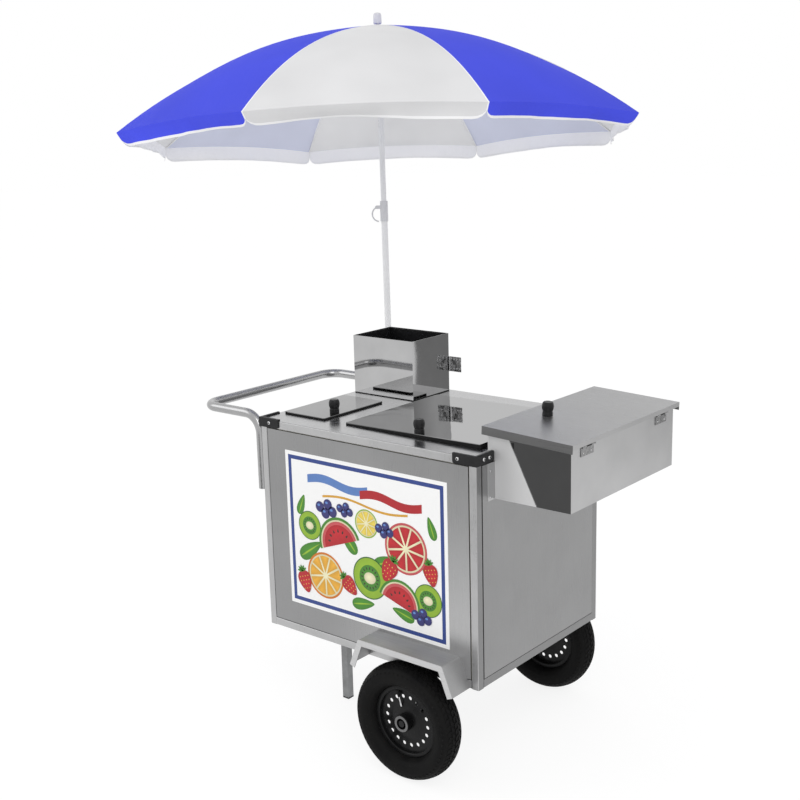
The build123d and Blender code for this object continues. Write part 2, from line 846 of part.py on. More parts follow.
def radial(heading):
    return Plane(mast.origin, x_dir=outward(heading), z_dir=outward(heading).cross(mast_axis))


socket_bore = lower_pole_radius + socket_clearance
socket_radius = socket_bore + socket_wall
plate_top = top - socket_plate_top_drop
with BuildPart() as pole_socket:
    with BuildSketch(mast.offset(-socket_depth)):
        Circle(socket_radius)
    extrude(amount=socket_depth - socket_top_drop)
    block(
        (left, left + bar_side),
        (back, back + socket_plate),
        (plate_top - socket_plate_height, plate_top),
    )
    for z in (plate_top - arm_thickness, plate_top - socket_plate_height):
        hold = mast.origin + mast_axis * ((z - top) / mast_axis.Z)
        toward = (Vector(hold.X, hold.Y, 0) - Vector(left + bar_half, back, 0)).normalized()
        across = Vector(-toward.Y, toward.X, 0) * arm_half_width
        with BuildSketch(Plane((0, 0, z))):
            Polygon(
                (left, back),
                (hold.X + across.X, hold.Y + across.Y),
                (hold.X - across.X, hold.Y - across.Y),
                (left + bar_side, back),
                align=None,
            )
        extrude(amount=arm_thickness)
    with BuildSketch(mast.offset(socket_floor - socket_depth)):
        Circle(socket_bore)
    extrude(amount=socket_depth, mode=Mode.SUBTRACT)
save(pole_socket, "pole_socket")

lower_top = collar_high - collar_cap
with BuildPart() as lower_pole:
    with BuildSketch(mast.offset(socket_floor - socket_depth)):
        Circle(lower_pole_radius)
        Circle(lower_pole_radius - lower_pole_wall, mode=Mode.SUBTRACT)
    extrude(amount=lower_top - socket_floor + socket_depth)
save(lower_pole, "lower_pole")

# Clamp collar on the lower pole's end, with lugs for the lever's pin
lever_plane = radial(lever_heading)
lever_pivot = (lever_pivot_radius, collar_high - lever_pivot_drop)
lug_middle = lever_width / 2 + lug_gap + lug_thickness / 2
with BuildPart() as pole_collar:
    with BuildSketch(mast.offset(collar_low)):
        Circle(collar_radius)
    extrude(amount=collar_high - collar_low)
    for side in (-1, 1):
        with BuildSketch(lever_plane.offset(side * lug_middle)):
            with Locations(lever_pivot):
                Circle(lever_boss_radius)
            with Locations((lever_pivot_radius / 2, lever_pivot[1])):
                Rectangle(lever_pivot_radius, 2 * lever_boss_radius)
        extrude(amount=lug_thickness / 2, both=True)
    with BuildSketch(lever_plane):
        with Locations(lever_pivot):
            Circle(lever_pin_radius + pin_clearance)
    extrude(amount=2 * lug_middle, both=True, mode=Mode.SUBTRACT)
    with BuildSketch(mast.offset(collar_low)):
        Circle(lower_pole_radius)
    extrude(amount=lower_top - collar_low, mode=Mode.SUBTRACT)
    with BuildSketch(mast.offset(lower_top)):
        Circle(upper_pole_radius + slide_clearance)
    extrude(amount=collar_cap, mode=Mode.SUBTRACT)
save(pole_collar, "pole_collar")

with BuildPart() as clamp_lever:
    with BuildSketch(lever_plane):
        with BuildLine():
            bow = ThreePointArc(
                lever_pivot,
                (lever_bulge_radius, lever_pivot[1] - lever_length / 2),
                (lever_end_radius, lever_pivot[1] - lever_length),
            )
        trace(bow, line_width=lever_thickness)
        with Locations(lever_pivot):
            Circle(lever_boss_radius)
    extrude(amount=lever_width / 2, both=True)
    with BuildSketch(lever_plane):
        with Locations(lever_pivot):
            Circle(lever_pin_radius)
    extrude(amount=lever_width / 2 + lug_gap + lug_thickness, both=True)
save(clamp_lever, "clamp_lever")

# The canopy's line in each rib's plane is an arc; the ribs follow it at a fixed depth below
chord = sqrt(canopy_radius**2 + (canopy_apex - canopy_rim) ** 2)
arc_radius = (chord**2 / 4 + canopy_bow**2) / (2 * canopy_bow)
sink = (arc_radius - canopy_bow) / chord
arc_x = canopy_radius / 2 - sink * (canopy_apex - canopy_rim)
arc_height = (canopy_apex + canopy_rim) / 2 - sink * canopy_radius
rib_drop = rib_radius + roof_depth + canopy_gap


def crest(radius, drop=0.0):
    return arc_height + sqrt((arc_radius - drop) ** 2 - (radius - arc_x) ** 2)


crown_top = crest(crown_radius) - roof_depth - canopy_gap
crown_low = crown_top - crown_height
rib_pivot = (rib_pivot_radius, crest(rib_pivot_radius, rib_drop) - rib_pivot_drop)
rib_start_radius = rib_pivot_radius + rib_rod_offset
rib_end_radius = canopy_radius - rib_end_gap
slot_width = rib_eye_width + 2 * slot_clearance
with BuildPart() as upper_pole:
    with BuildSketch(mast.offset(collar_high - upper_pole_inserted)):
        Circle(upper_pole_radius)
        Circle(upper_pole_radius - upper_pole_wall, mode=Mode.SUBTRACT)
    extrude(amount=crown_low - collar_high + upper_pole_inserted)
save(upper_pole, "upper_pole")

# Crown: a slotted head with a pin across each slot, plugged into the pole's end
with BuildPart() as umbrella_crown:
    with BuildSketch(mast.offset(crown_low)):
        Circle(crown_radius)
    extrude(amount=crown_height)
    for heading in headings:
        with BuildSketch(radial(heading)):
            with Locations((crown_core_radius + crown_radius, crown_top - crown_height / 2)):
                Rectangle(2 * crown_radius, 2 * crown_height)
        extrude(amount=slot_width / 2, both=True, mode=Mode.SUBTRACT)
    with BuildSketch(mast.offset(crown_low)):
        Circle(crown_core_radius)
    extrude(amount=crown_height)
    with BuildSketch(mast.offset(crown_low)):
        Circle(upper_pole_radius - upper_pole_wall)
    extrude(amount=-crown_spigot)
    for heading in headings:
        with BuildSketch(radial(heading)):
            with Locations(rib_pivot):
                Circle(crown_pin_radius)
        extrude(amount=slot_width / 2 + pin_seat, both=True)
save(umbrella_crown, "umbrella_crown")

finial_foot = crest(apex_hole_radius) + rest_gap
dome_height = finial_foot + finial_height - finial_radius
with BuildPart() as finial:
    with BuildSketch(radial(0)):
        with BuildLine():
            Polyline(
                (0, finial_foot + finial_height),
                (0, crown_top),
                (finial_stem_radius, crown_top),
                (finial_stem_radius, finial_foot),
                (finial_radius, finial_foot),
                (finial_radius, dome_height),
            )
            ThreePointArc(
                (finial_radius, dome_height),
                (finial_radius * cos(radians(45)), dome_height + finial_radius * sin(radians(45))),
                (0, finial_foot + finial_height),
            )
        make_face()
    revolve(axis=Axis(mast.origin, mast_axis))
save(finial, "finial")

# Canopy: a faceted shell with its corners along the ribs; its valance is parted at each rib into flaps
band_width = (canopy_radius - apex_hole_radius) / canopy_bands
band_radii = [apex_hole_radius + band_width * step for step in range(canopy_bands + 1)]
outer_bands = [(radius, crest(radius)) for radius in band_radii]
inner_bands = [(radius, crest(radius) - roof_depth) for radius in band_radii[:-1]]
outer_bands.append((canopy_radius, hem_height))
inner_bands.append((canopy_radius - canopy_sheet, canopy_rim - roof_depth))
inner_bands.append((canopy_radius - canopy_sheet, hem_height - cut_over))
with BuildPart() as canopy:
    for radius, height in outer_bands:
        with BuildSketch(mast.offset(height)):
            Polygon(*[(radius * cos(radians(h)), radius * sin(radians(h))) for h in headings], align=None)
    loft(ruled=True)
    for radius, height in inner_bands:
        with BuildSketch(mast.offset(height)):
            Polygon(*[(radius * cos(radians(h)), radius * sin(radians(h))) for h in headings], align=None)
    loft(ruled=True, mode=Mode.SUBTRACT)
    with BuildSketch(mast.offset(crown_top)):
        Circle(finial_stem_radius + rest_gap)
    extrude(amount=crown_height, mode=Mode.SUBTRACT)
    for heading in headings:
        corner = mast.origin + from_foot(heading, canopy_radius, hem_height)
        with BuildSketch(Plane(corner, x_dir=outward(heading + 90), z_dir=outward(heading))):
            with BuildLine():
                Polyline((-flap_gap / 2, flap_corner), (flap_gap / 2, flap_corner))
                RadiusArc((flap_gap / 2, flap_corner), (flap_gap / 2 + flap_corner, 0), -flap_corner)
                Polyline(
                    (flap_gap / 2 + flap_corner, 0),
                    (flap_gap / 2 + flap_corner, -cut_over),
                    (-flap_gap / 2 - flap_corner, -cut_over),
                    (-flap_gap / 2 - flap_corner, 0),
                )
                RadiusArc((-flap_gap / 2 - flap_corner, 0), (-flap_gap / 2, flap_corner), -flap_corner)
            make_face()
        extrude(amount=flap_corner, both=True, mode=Mode.SUBTRACT)
save(canopy, "canopy")

# Runner: a sleeve on the upper pole with a slotted flange for the stretchers
side_step = rib_radius + stretcher_radius + stretcher_gap
joint_height = crest(stretcher_reach, rib_drop)
runner_height = joint_height - sqrt(stretcher_length**2 - (stretcher_reach - runner_pivot_radius) ** 2)
runner_bore = upper_pole_radius + slide_clearance
runner_slot = stretcher_eye_width + 2 * slot_clearance
flange_low = runner_height - runner_flange_height / 2
with BuildPart() as runner:
    with BuildSketch(mast.offset(flange_low)):
        Circle(runner_flange_radius)
    extrude(amount=runner_flange_height)
    for heading in headings:
        with BuildSketch(radial(heading).offset(side_step)):
            with Locations((runner_bore + runner_wall + runner_flange_radius, runner_height)):
                Rectangle(2 * runner_flange_radius, 2 * runner_flange_height)
        extrude(amount=runner_slot / 2, both=True, mode=Mode.SUBTRACT)
        with BuildSketch(radial(heading).offset(side_step)):
            with Locations((runner_pivot_radius, runner_height)):
                Circle(runner_pin_radius)
        extrude(amount=runner_slot / 2 + pin_seat, both=True)
    with BuildSketch(mast.offset(flange_low - runner_skirt)):
        Circle(runner_bore + runner_wall)
    extrude(amount=runner_skirt + runner_flange_height)
    with BuildSketch(mast.offset(flange_low - runner_skirt)):
        Circle(runner_bore)
    extrude(amount=runner_skirt + runner_flange_height, mode=Mode.SUBTRACT)
save(runner, "runner")

# Ribs and stretchers, one of each in every rib plane
for index, heading in enumerate(headings):
    plane = radial(heading)
    middle_radius = (rib_start_radius + rib_end_radius) / 2
    with BuildPart() as rib:
        with BuildLine(plane) as rib_path:
            ThreePointArc(
                (rib_start_radius, crest(rib_start_radius, rib_drop)),
                (middle_radius, crest(middle_radius, rib_drop)),
                (rib_end_radius, crest(rib_end_radius, rib_drop)),
            )
        rib_wire = rib_path.wires()[0]
        with BuildSketch(Plane(rib_wire @ 0, z_dir=rib_wire % 0)):
            Circle(rib_radius)
        sweep(path=rib_wire)
        with BuildSketch(plane):
            with Locations(rib_pivot):
                Circle(rib_eye_radius)
        extrude(amount=rib_eye_width / 2, both=True)
        with BuildSketch(plane):
            with Locations(rib_pivot):
                Circle(crown_pin_radius + pin_clearance)
        extrude(amount=rib_eye_width, both=True, mode=Mode.SUBTRACT)
    save(rib, f"rib_{index + 1}")

    beside = plane.offset(side_step)
    inner_end = beside.from_local_coords(Vector(runner_pivot_radius, runner_height, 0))
    outer_end = beside.from_local_coords(Vector(stretcher_reach, joint_height, 0))
    with BuildPart() as stretcher:
        with BuildSketch(Plane(inner_end, z_dir=outer_end - inner_end)):
            Circle(stretcher_radius)
        extrude(amount=stretcher_length)
        with BuildSketch(beside):
            with Locations((runner_pivot_radius, runner_height), (stretcher_reach, joint_height)):
                Circle(stretcher_eye_radius)
        extrude(amount=stretcher_eye_width / 2, both=True)
        with BuildSketch(beside):
            with Locations((runner_pivot_radius, runner_height)):
                Circle(runner_pin_radius + pin_clearance)
        extrude(amount=stretcher_eye_width, both=True, mode=Mode.SUBTRACT)
    save(stretcher, f"stretcher_{index + 1}")
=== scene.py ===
import bmesh
import bpy
from math import atan2, cos, hypot, pi, radians, sin, sqrt, tan
from mathutils import Matrix, Vector


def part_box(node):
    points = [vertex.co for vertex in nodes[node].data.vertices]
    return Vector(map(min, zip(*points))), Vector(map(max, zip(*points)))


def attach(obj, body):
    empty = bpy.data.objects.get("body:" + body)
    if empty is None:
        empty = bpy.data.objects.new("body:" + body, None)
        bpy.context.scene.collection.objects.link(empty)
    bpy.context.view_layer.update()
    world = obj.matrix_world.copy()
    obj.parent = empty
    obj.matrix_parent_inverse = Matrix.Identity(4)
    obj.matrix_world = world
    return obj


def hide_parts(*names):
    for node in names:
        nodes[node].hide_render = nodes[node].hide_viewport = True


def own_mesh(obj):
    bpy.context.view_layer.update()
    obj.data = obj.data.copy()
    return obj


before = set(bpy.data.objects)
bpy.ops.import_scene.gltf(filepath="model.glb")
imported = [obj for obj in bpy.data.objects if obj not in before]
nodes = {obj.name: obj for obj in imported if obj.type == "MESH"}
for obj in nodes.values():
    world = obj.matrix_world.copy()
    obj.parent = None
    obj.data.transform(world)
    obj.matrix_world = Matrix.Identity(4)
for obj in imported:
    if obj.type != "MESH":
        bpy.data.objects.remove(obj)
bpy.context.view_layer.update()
scene = bpy.context.scene
scene.view_settings.view_transform = "Standard"

# Faces of the cabinet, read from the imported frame
frameLow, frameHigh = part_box("frame_profiles")
left, front, bottom = frameLow
right, back = frameHigh.x, frameHigh.y
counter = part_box("countertop")[1].z
posterLow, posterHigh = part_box("poster")
print("frame loaded:", len(nodes), "nodes")


def addObject(name, data):
    made = bpy.data.objects.new(name, data)
    scene.collection.objects.link(made)
    return made


# Camera, where the photograph was taken from
cameraView = {"place": (left + 2.6935, front - 2.5729, 1.8907), "azimuth": 39.6252, "elevation": 12.9959,
              "roll": -1.5144, "lens": 55.226, "sensor": 36}


def addCamera(look):
    data = bpy.data.cameras.new("photoCamera")
    data.lens, data.sensor_width = look["lens"], look["sensor"]
    around, above, roll = (radians(look[key]) for key in ("azimuth", "elevation", "roll"))
    behind = Vector((sin(around) * cos(above), -cos(around) * cos(above), sin(above)))
    level = Vector((0, 0, 1)).cross(behind).normalized()
    upright = behind.cross(level)
    sideways = level * cos(roll) + upright * sin(roll)
    upward = upright * cos(roll) - level * sin(roll)
    turn = Matrix((sideways, upward, behind)).transposed().to_4x4()
    camera = addObject("photoCamera", data)
    camera.matrix_world = Matrix.Translation(look["place"]) @ turn
    scene.camera = camera
    print("camera set")


addCamera(cameraView)


# Shader building
def addNode(tree, kind, inputs=None, **settings):
    node = tree.nodes.new(kind)
    for key, value in settings.items():
        setattr(node, key, value)
    for key, value in (inputs or {}).items():
        node.inputs[key].default_value = value
    return node


def wire(tree, *pairs):
    for one, two in pairs:
        tree.links.new(one, two)


def startMaterial(name, color, rough, metal=0.0):
    material = bpy.data.materials.new(name)
    material.use_nodes = True
    tree = material.node_tree
    shader = tree.nodes["Principled BSDF"]
    shader.inputs["Base Color"].default_value = (*color, 1)
    shader.inputs["Roughness"].default_value = rough
    shader.inputs["Metallic"].default_value = metal
    return material, tree, shader


# The scale is one number, or three where the pattern is stretched
def noiseOn(tree, scale, detail, space="Object", rough=0.6):
    coords = addNode(tree, "ShaderNodeTexCoord")
    stretch = scale if isinstance(scale, tuple) else (scale,) * 3
    mapping = addNode(tree, "ShaderNodeMapping", {"Scale": stretch})
    noise = addNode(tree, "ShaderNodeTexNoise", {"Scale": 1.0, "Detail": detail, "Roughness": rough})
    wire(tree, (coords.outputs[space], mapping.inputs["Vector"]),
         (mapping.outputs["Vector"], noise.inputs["Vector"]))
    return noise.outputs[0]


def spread(tree, value, low, high, start=0.3, end=0.7):
    node = addNode(tree, "ShaderNodeMapRange",
                   {"From Min": start, "From Max": end, "To Min": low, "To Max": high})
    wire(tree, (value, node.inputs["Value"]))
    return node.outputs["Result"]


def combine(tree, one, two, operation="ADD", clamp=False):
    node = addNode(tree, "ShaderNodeMath", operation=operation, use_clamp=clamp)
    wire(tree, (one, node.inputs[0]), (two, node.inputs[1]))
    return node.outputs[0]


# Sockets of a Mix node that mixes colours
mixSockets = {"share": 0, "first": 6, "second": 7, "result": 2}


# From one colour, plain or already made by nodes, to another
def blend(tree, share, color, other):
    node = addNode(tree, "ShaderNodeMix", {mixSockets["second"]: (*other, 1)}, data_type="RGBA")
    wire(tree, (share, node.inputs[mixSockets["share"]]))
    first = node.inputs[mixSockets["first"]]
    if isinstance(color, tuple):
        first.default_value = (*color, 1)
    else:
        wire(tree, (color, first))
    return node.outputs[mixSockets["result"]]


def gradient(tree, source, axis, start, end):
    coords = addNode(tree, "ShaderNodeTexCoord")
    parts = addNode(tree, "ShaderNodeSeparateXYZ")
    wire(tree, (coords.outputs[source], parts.inputs[0]))
    return spread(tree, parts.outputs[axis], 0, 1, start, end)


# 1 on faces that look one way along an axis, 0 on those that look aside
def facing(tree, axis, way, aside=0.5, along=0.9):
    return gradient(tree, "Normal", axis, aside * way, along * way)


# 0 to 1 across a slanted line: x plus a part of another axis, both read over a span in metres from low
def slanted(tree, axis, low, slant, start, end, span=2):
    part = spread(tree, gradient(tree, "Object", axis, low, low + span), 0, slant, 0, 1)
    level = combine(tree, gradient(tree, "Object", 0, low, low + span), part)
    offset = low * (1 + slant)
    return spread(tree, level, 0, 1, (start - offset) / span, (end - offset) / span)


def addRelief(tree, shader, value, strength, depth):
    bump = addNode(tree, "ShaderNodeBump", {"Strength": strength, "Distance": depth})
    wire(tree, (value, bump.inputs["Height"]))
    if shader.inputs["Normal"].is_linked:
        wire(tree, (shader.inputs["Normal"].links[0].from_socket, bump.inputs["Normal"]))
    wire(tree, (bump.outputs["Normal"], shader.inputs["Normal"]))


def shade(color, factor):
    return tuple(min(1.0, part * factor) for part in color)


# Metals: streaks left by rolling or brushing, smudges, and the slight waves of thin sheet
brushing = {"least": 0.75, "most": 1.25, "streakDepth": 0.0002, "waveDepth": 0.004}


def metalFinish(name, look):
    material, tree, shader = startMaterial(name, look["color"], look["rough"], 1.0)
    streaks = noiseOn(tree, look["streaks"], detail=5.0)
    smudges = noiseOn(tree, look["smudges"], detail=3.0)
    dull, clean = shade(look["color"], 1 - look["fade"]), shade(look["color"], 1 + look["fade"])
    color = blend(tree, spread(tree, smudges, 0, 1), dull, clean)
    brushed = spread(tree, streaks, look["rough"] * brushing["least"], look["rough"] * brushing["most"])
    rough = combine(tree, brushed, spread(tree, smudges, 0, look["smear"]))
    if "paintedShadeRight" in look:                              # painted shade: darker on faces that look to the right
        color = blend(tree, facing(tree, 0, 1), color, look["paintedShadeRight"])
    if "lip" in look:                                    # painted light and shade: another tone on the lip turned down at the front
        color = blend(tree, facing(tree, 1, -1), color, look["lip"])
    if "paintedHighlight" in look:                                 # painted highlight: brighter towards one lower corner of the front
        paintedHighlight = look["paintedHighlight"]
        corner = combine(tree, gradient(tree, "Object", 0, *paintedHighlight["across"]),
                         gradient(tree, "Object", 2, *paintedHighlight["down"]), "MULTIPLY")
        corner = combine(tree, corner, facing(tree, 1, -1), "MULTIPLY")
        color = blend(tree, corner, color, paintedHighlight["color"])
    if "paintedReflection" in look:                                  # painted reflection: brighter towards one corner
        share = slanted(tree, 1, -1, *look["paintedReflection"]["line"])
        color = blend(tree, share, color, look["paintedReflection"]["color"])
    if "matte" in look:                                  # painted highlight: bright and matt by the cabinet, duller on the end
        matte = look["matte"]
        strip = combine(tree, slanted(tree, 2, 0, *matte["line"]), facing(tree, 1, -1), "MULTIPLY")
        color = blend(tree, strip, color, matte["color"])
        rough = combine(tree, rough, spread(tree, strip, 0, matte["rough"], 0, 1))
        rough = combine(tree, rough, spread(tree, facing(tree, 0, 1), 0, matte["endRough"], 0, 1))
        wire(tree, (spread(tree, strip, 1, matte["metal"], 0, 1), shader.inputs["Metallic"]))
    shader.inputs["Specular Tint"].default_value = (look.get("edge", 1.0),) * 3 + (1,)
    wire(tree, (color, shader.inputs["Base Color"]), (rough, shader.inputs["Roughness"]))
    addRelief(tree, shader, streaks, look["scratch"], brushing["streakDepth"])
    if "warp" in look:
        waves = noiseOn(tree, look["waves"], detail=1.0)
        addRelief(tree, shader, waves, look["warp"], brushing["waveDepth"])
    return material


# Paint and plastic: a fine skin, a few dull patches and dust
coating = {"least": 0.8, "most": 1.3, "depth": 0.0004, "gloss": 0.5}


def skinFinish(name, look):
    material, tree, shader = startMaterial(name, look["color"], look["rough"])
    skin = noiseOn(tree, look["grain"], detail=3.0)
    patches = noiseOn(tree, look["patches"], detail=4.0)
    worn = blend(tree, spread(tree, patches, 0, 1), look["color"], look["worn"])
    rough = spread(tree, patches, look["rough"] * coating["least"], look["rough"] * coating["most"])
    wire(tree, (worn, shader.inputs["Base Color"]), (rough, shader.inputs["Roughness"]))
    addRelief(tree, shader, skin, look["relief"], coating["depth"])
    shader.inputs["Specular IOR Level"].default_value = look.get("gloss", coating["gloss"])
    return material


metals = {
    "counterSteel": {"color": (0.43, 0.43, 0.433), "rough": 0.2, "streaks": (5, 700, 700), "smudges": 5,
                     "fade": 0.06, "smear": 0.04, "scratch": 0.03, "warp": 0.05, "waves": 3},
    "lidSteel": {"color": (0.15, 0.15, 0.151), "rough": 0.025, "streaks": (5, 700, 700), "smudges": 6,
                 "fade": 0.06, "smear": 0.02, "scratch": 0.02, "warp": 0.16, "waves": 9, "edge": 0.72,
                 # painted reflection: the front lid is brighter towards one corner
                 "paintedReflection": {"line": (0.81, -0.05, 0.05), "color": (0.55, 0.55, 0.553)}},
    "leftLidSteel": {"color": (0.22, 0.22, 0.222), "rough": 0.1, "streaks": (5, 700, 700), "smudges": 6,
                     "fade": 0.1, "smear": 0.05, "scratch": 0.04, "warp": 0.05, "waves": 4},
    "containerSteel": {"color": (0.45, 0.45, 0.453), "rough": 0.02, "streaks": (500, 500, 6), "smudges": 8,
                       "fade": 0.06, "smear": 0.015, "scratch": 0.02, "warp": 0.06, "waves": 5},
    "boxSteel": {"color": (0.46, 0.46, 0.463), "rough": 0.018, "streaks": (6, 6, 700), "smudges": 6,
                 "fade": 0.06, "smear": 0.01, "scratch": 0.02, "warp": 0.03, "waves": 3,
                 # painted highlight: a bright, matt strip on the box's front by the cabinet
                 "matte": {"line": (0.506, 1.340, 1.334), "color": (0.66, 0.66, 0.663), "rough": 0.4,
                           "endRough": 0.28, "metal": 0.3}},
    "boxLidSteel": {"color": (0.43, 0.43, 0.433), "rough": 0.32, "streaks": (6, 500, 500), "smudges": 4,
                    "fade": 0.06, "smear": 0.04, "scratch": 0.01, "warp": 0.03, "waves": 3, "edge": 0.85,
                    # painted shade: the box lid's lip, turned down at the front, is darker
                    "lip": (0.17, 0.17, 0.171)},
    "hingeSteel": {"color": (0.26, 0.26, 0.262), "rough": 0.22, "streaks": 200, "smudges": 160,
                   "fade": 0.35, "smear": 0.1, "scratch": 0.1},
    "plateSteel": {"color": (0.42, 0.42, 0.422), "rough": 0.2, "streaks": 200, "smudges": 110,
                   "fade": 0.95, "smear": 0.1, "scratch": 0.1},
    "panelSteel": {"color": (0.3, 0.3, 0.302), "rough": 0.3, "streaks": (900, 900, 7), "smudges": 3,
                   "fade": 0.07, "smear": 0.06, "scratch": 0.08, "warp": 0.04, "waves": 2,
                   # painted highlight: the front panel is brighter towards one lower corner
                   "paintedHighlight": {"across": (0.2, 0.72), "down": (1.0, 0.4), "color": (0.5, 0.5, 0.503)}},
    "fenderSteel": {"color": (0.4, 0.4, 0.403), "rough": 0.5, "streaks": (8, 700, 300), "smudges": 8,
                    "fade": 0.08, "smear": 0.08, "scratch": 0.08, "warp": 0.05, "waves": 4,
                    # painted highlight: the fender's lip, turned down at the front, is lighter
                    "lip": (0.6, 0.6, 0.603)},
    "profileAluminium": {"color": (0.47, 0.47, 0.473), "rough": 0.3, "streaks": (500, 500, 12), "smudges": 12,
                         "fade": 0.06, "smear": 0.06, "scratch": 0.07,
                         # painted shade: the frame's bars are darker on their faces to the right
                         "paintedShadeRight": (0.25, 0.25, 0.252)},
    "tubeSteel": {"color": (0.38, 0.38, 0.383), "rough": 0.2, "streaks": 300, "smudges": 14,
                  "fade": 0.06, "smear": 0.06, "scratch": 0.04},
    "zincSteel": {"color": (0.24, 0.243, 0.246), "rough": 0.36, "streaks": 60, "smudges": 35,
                  "fade": 0.14, "smear": 0.12, "scratch": 0.1},
    "bearingSteel": {"color": (0.17, 0.17, 0.171), "rough": 0.3, "streaks": (400, 20, 400), "smudges": 60,
                     "fade": 0.15, "smear": 0.06, "scratch": 0.06},
    "axleSteelAndHingeShade": {"color": (0.03, 0.03, 0.031), "rough": 0.35, "streaks": (300, 20, 300), "smudges": 50,
                  "fade": 0.2, "smear": 0.08, "scratch": 0.08},
    "brightFastener": {"color": (0.6, 0.6, 0.605), "rough": 0.18, "streaks": 900, "smudges": 120,
                       "fade": 0.08, "smear": 0.05, "scratch": 0.05},
}
skins = {
    "capPlastic": {"color": (0.012, 0.012, 0.013), "worn": (0.02, 0.02, 0.021), "rough": 0.34, "grain": 1800,
                   "patches": 30, "relief": 0.12, "gloss": 0.2},
    "knobPlastic": {"color": (0.011, 0.011, 0.012), "worn": (0.018, 0.018, 0.019), "rough": 0.3,
                    "grain": 1500, "patches": 40, "relief": 0.1, "gloss": 0.2},
    "linerPlastic": {"color": (0.009, 0.009, 0.01), "worn": (0.014, 0.014, 0.015), "rough": 0.4, "grain": 900,
                     "patches": 18, "relief": 0.12, "gloss": 0.12},
    "gasketRubber": {"color": (0.009, 0.009, 0.01), "worn": (0.016, 0.016, 0.016), "rough": 0.55,
                     "grain": 1200, "patches": 25, "relief": 0.15, "gloss": 0.12},
    "tyreRubber": {"color": (0.006, 0.006, 0.0064), "worn": (0.012, 0.0117, 0.0113), "rough": 0.55,
                   "grain": 700, "patches": 22, "relief": 0.25, "gloss": 0.06},
    "rimPaint": {"color": (0.007, 0.007, 0.0075), "worn": (0.012, 0.012, 0.0125), "rough": 0.3, "grain": 400,
                 "patches": 20, "relief": 0.06, "gloss": 0.15},
    # white paint, set lighter as painted light against the canopy's shade
    "polePaint": {"color": (0.93, 0.93, 0.935), "worn": (0.87, 0.87, 0.875), "rough": 0.3, "grain": 500,
                  "patches": 9, "relief": 0.06},
    "fittingPlastic": {"color": (0.76, 0.76, 0.78), "worn": (0.68, 0.68, 0.7), "rough": 0.38, "grain": 1400,
                       "patches": 40, "relief": 0.08},
    "boardFoam": {"color": (0.72, 0.7, 0.62), "worn": (0.62, 0.6, 0.52), "rough": 0.8, "grain": 900,
                  "patches": 30, "relief": 0.4},
}
finishes = {name: metalFinish(name, look) for name, look in metals.items()}
finishes.update({name: skinFinish(name, look) for name, look in skins.items()})

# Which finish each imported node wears
dressing = {
    "counterSteel": ["countertop", "ice_wells"],
    "lidSteel": ["front_lid"],
    "leftLidSteel": ["left_lid"],
    "containerSteel": ["container"],
    "boxSteel": ["side_box"],
    "boxLidSteel": ["side_box_lid"],
    "hingeSteel": ["box_hinge_leaves"],
    "plateSteel": ["container_plate"],
    "panelSteel": ["side_panels", "end_panels", "floor_panel"],
    "fenderSteel": ["fender"],
    "profileAluminium": ["frame_profiles"],
    "tubeSteel": ["push_handle"],
    "zincSteel": ["underframe", "pole_socket"],
    # the lid's hinge leaves wear near-black steel as painted shade of the gap at the hinge's top
    "axleSteelAndHingeShade": ["axle", "lid_hinge_leaves"],
    "capPlastic": ["corner_caps", "leg_feet"],
    "knobPlastic": ["left_lid_knob", "front_lid_knob", "side_box_lid_knob"],
    "linerPlastic": ["container_liner"],
    "gasketRubber": ["container_gasket", "left_lid_gasket", "front_lid_gasket"],
    "polePaint": ["lower_pole", "upper_pole"],
    "fittingPlastic": ["pole_collar", "clamp_lever", "runner", "umbrella_crown"],
    "boardFoam": ["insulation"],
}
ribCount = 8                                             # ribs of the umbrella, each with a stretcher
for index in range(1, ribCount + 1):
    dressing["polePaint"] += [f"rib_{index}", f"stretcher_{index}"]
for finish, wearers in dressing.items():
    for wearer in wearers:
        for slot in nodes[wearer].material_slots:
            slot.material = finishes[finish]
print("finishes given to", sum(len(wearers) for wearers in dressing.values()), "nodes")


# Mesh building
crisp = 32                                               # degrees past which an edge stays sharp


def polar(x, y, reach, angle):
    return x + reach * cos(angle), y + reach * sin(angle)


def swung(x, y, u, v, turn):
    return x + u * cos(turn) - v * sin(turn), y + u * sin(turn) + v * cos(turn)


def circle(count):
    return [2 * pi * index / count for index in range(count)]


def addPiece(name, mesh, materials, body):
    mesh.name = name
    for material in materials:
        mesh.materials.append(material)
    piece = addObject(name, mesh)
    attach(piece, body)
    return piece


def closeShape(shape, place=None, sharp=crisp):
    bmesh.ops.remove_doubles(shape, verts=shape.verts, dist=1e-7)
    bmesh.ops.recalc_face_normals(shape, faces=shape.faces)
    if place is not None:
        shape.transform(place)
    mesh = bpy.data.meshes.new("shape")
    shape.to_mesh(mesh)
    shape.free()
    for face in mesh.polygons:
        face.use_smooth = True
    mesh.set_sharp_from_angle(angle=radians(sharp))
    return mesh


def turned(profile, steps=48, loop=False):
    shape = bmesh.new()
    rings = []
    for radius, level in profile:
        turns = circle(steps) if radius else [0]
        rings.append([shape.verts.new((*polar(0, 0, radius, turn), level)) for turn in turns])
    pairs = list(zip(rings, rings[1:])) + ([(rings[-1], rings[0])] if loop else [])
    for one, two in pairs:
        for index in range(steps):
            corners = [one[index % len(one)], one[(index + 1) % len(one)],
                       two[(index + 1) % len(two)], two[index % len(two)]]
            shape.faces.new(list(dict.fromkeys(corners)))
    return shape


def joinMeshes(meshes):
    shape = bmesh.new()
    for mesh in meshes:
        shape.from_mesh(mesh)
        bpy.data.meshes.remove(mesh)
    joined = bpy.data.meshes.new("joined")
    shape.to_mesh(joined)
    shape.free()
    return joined


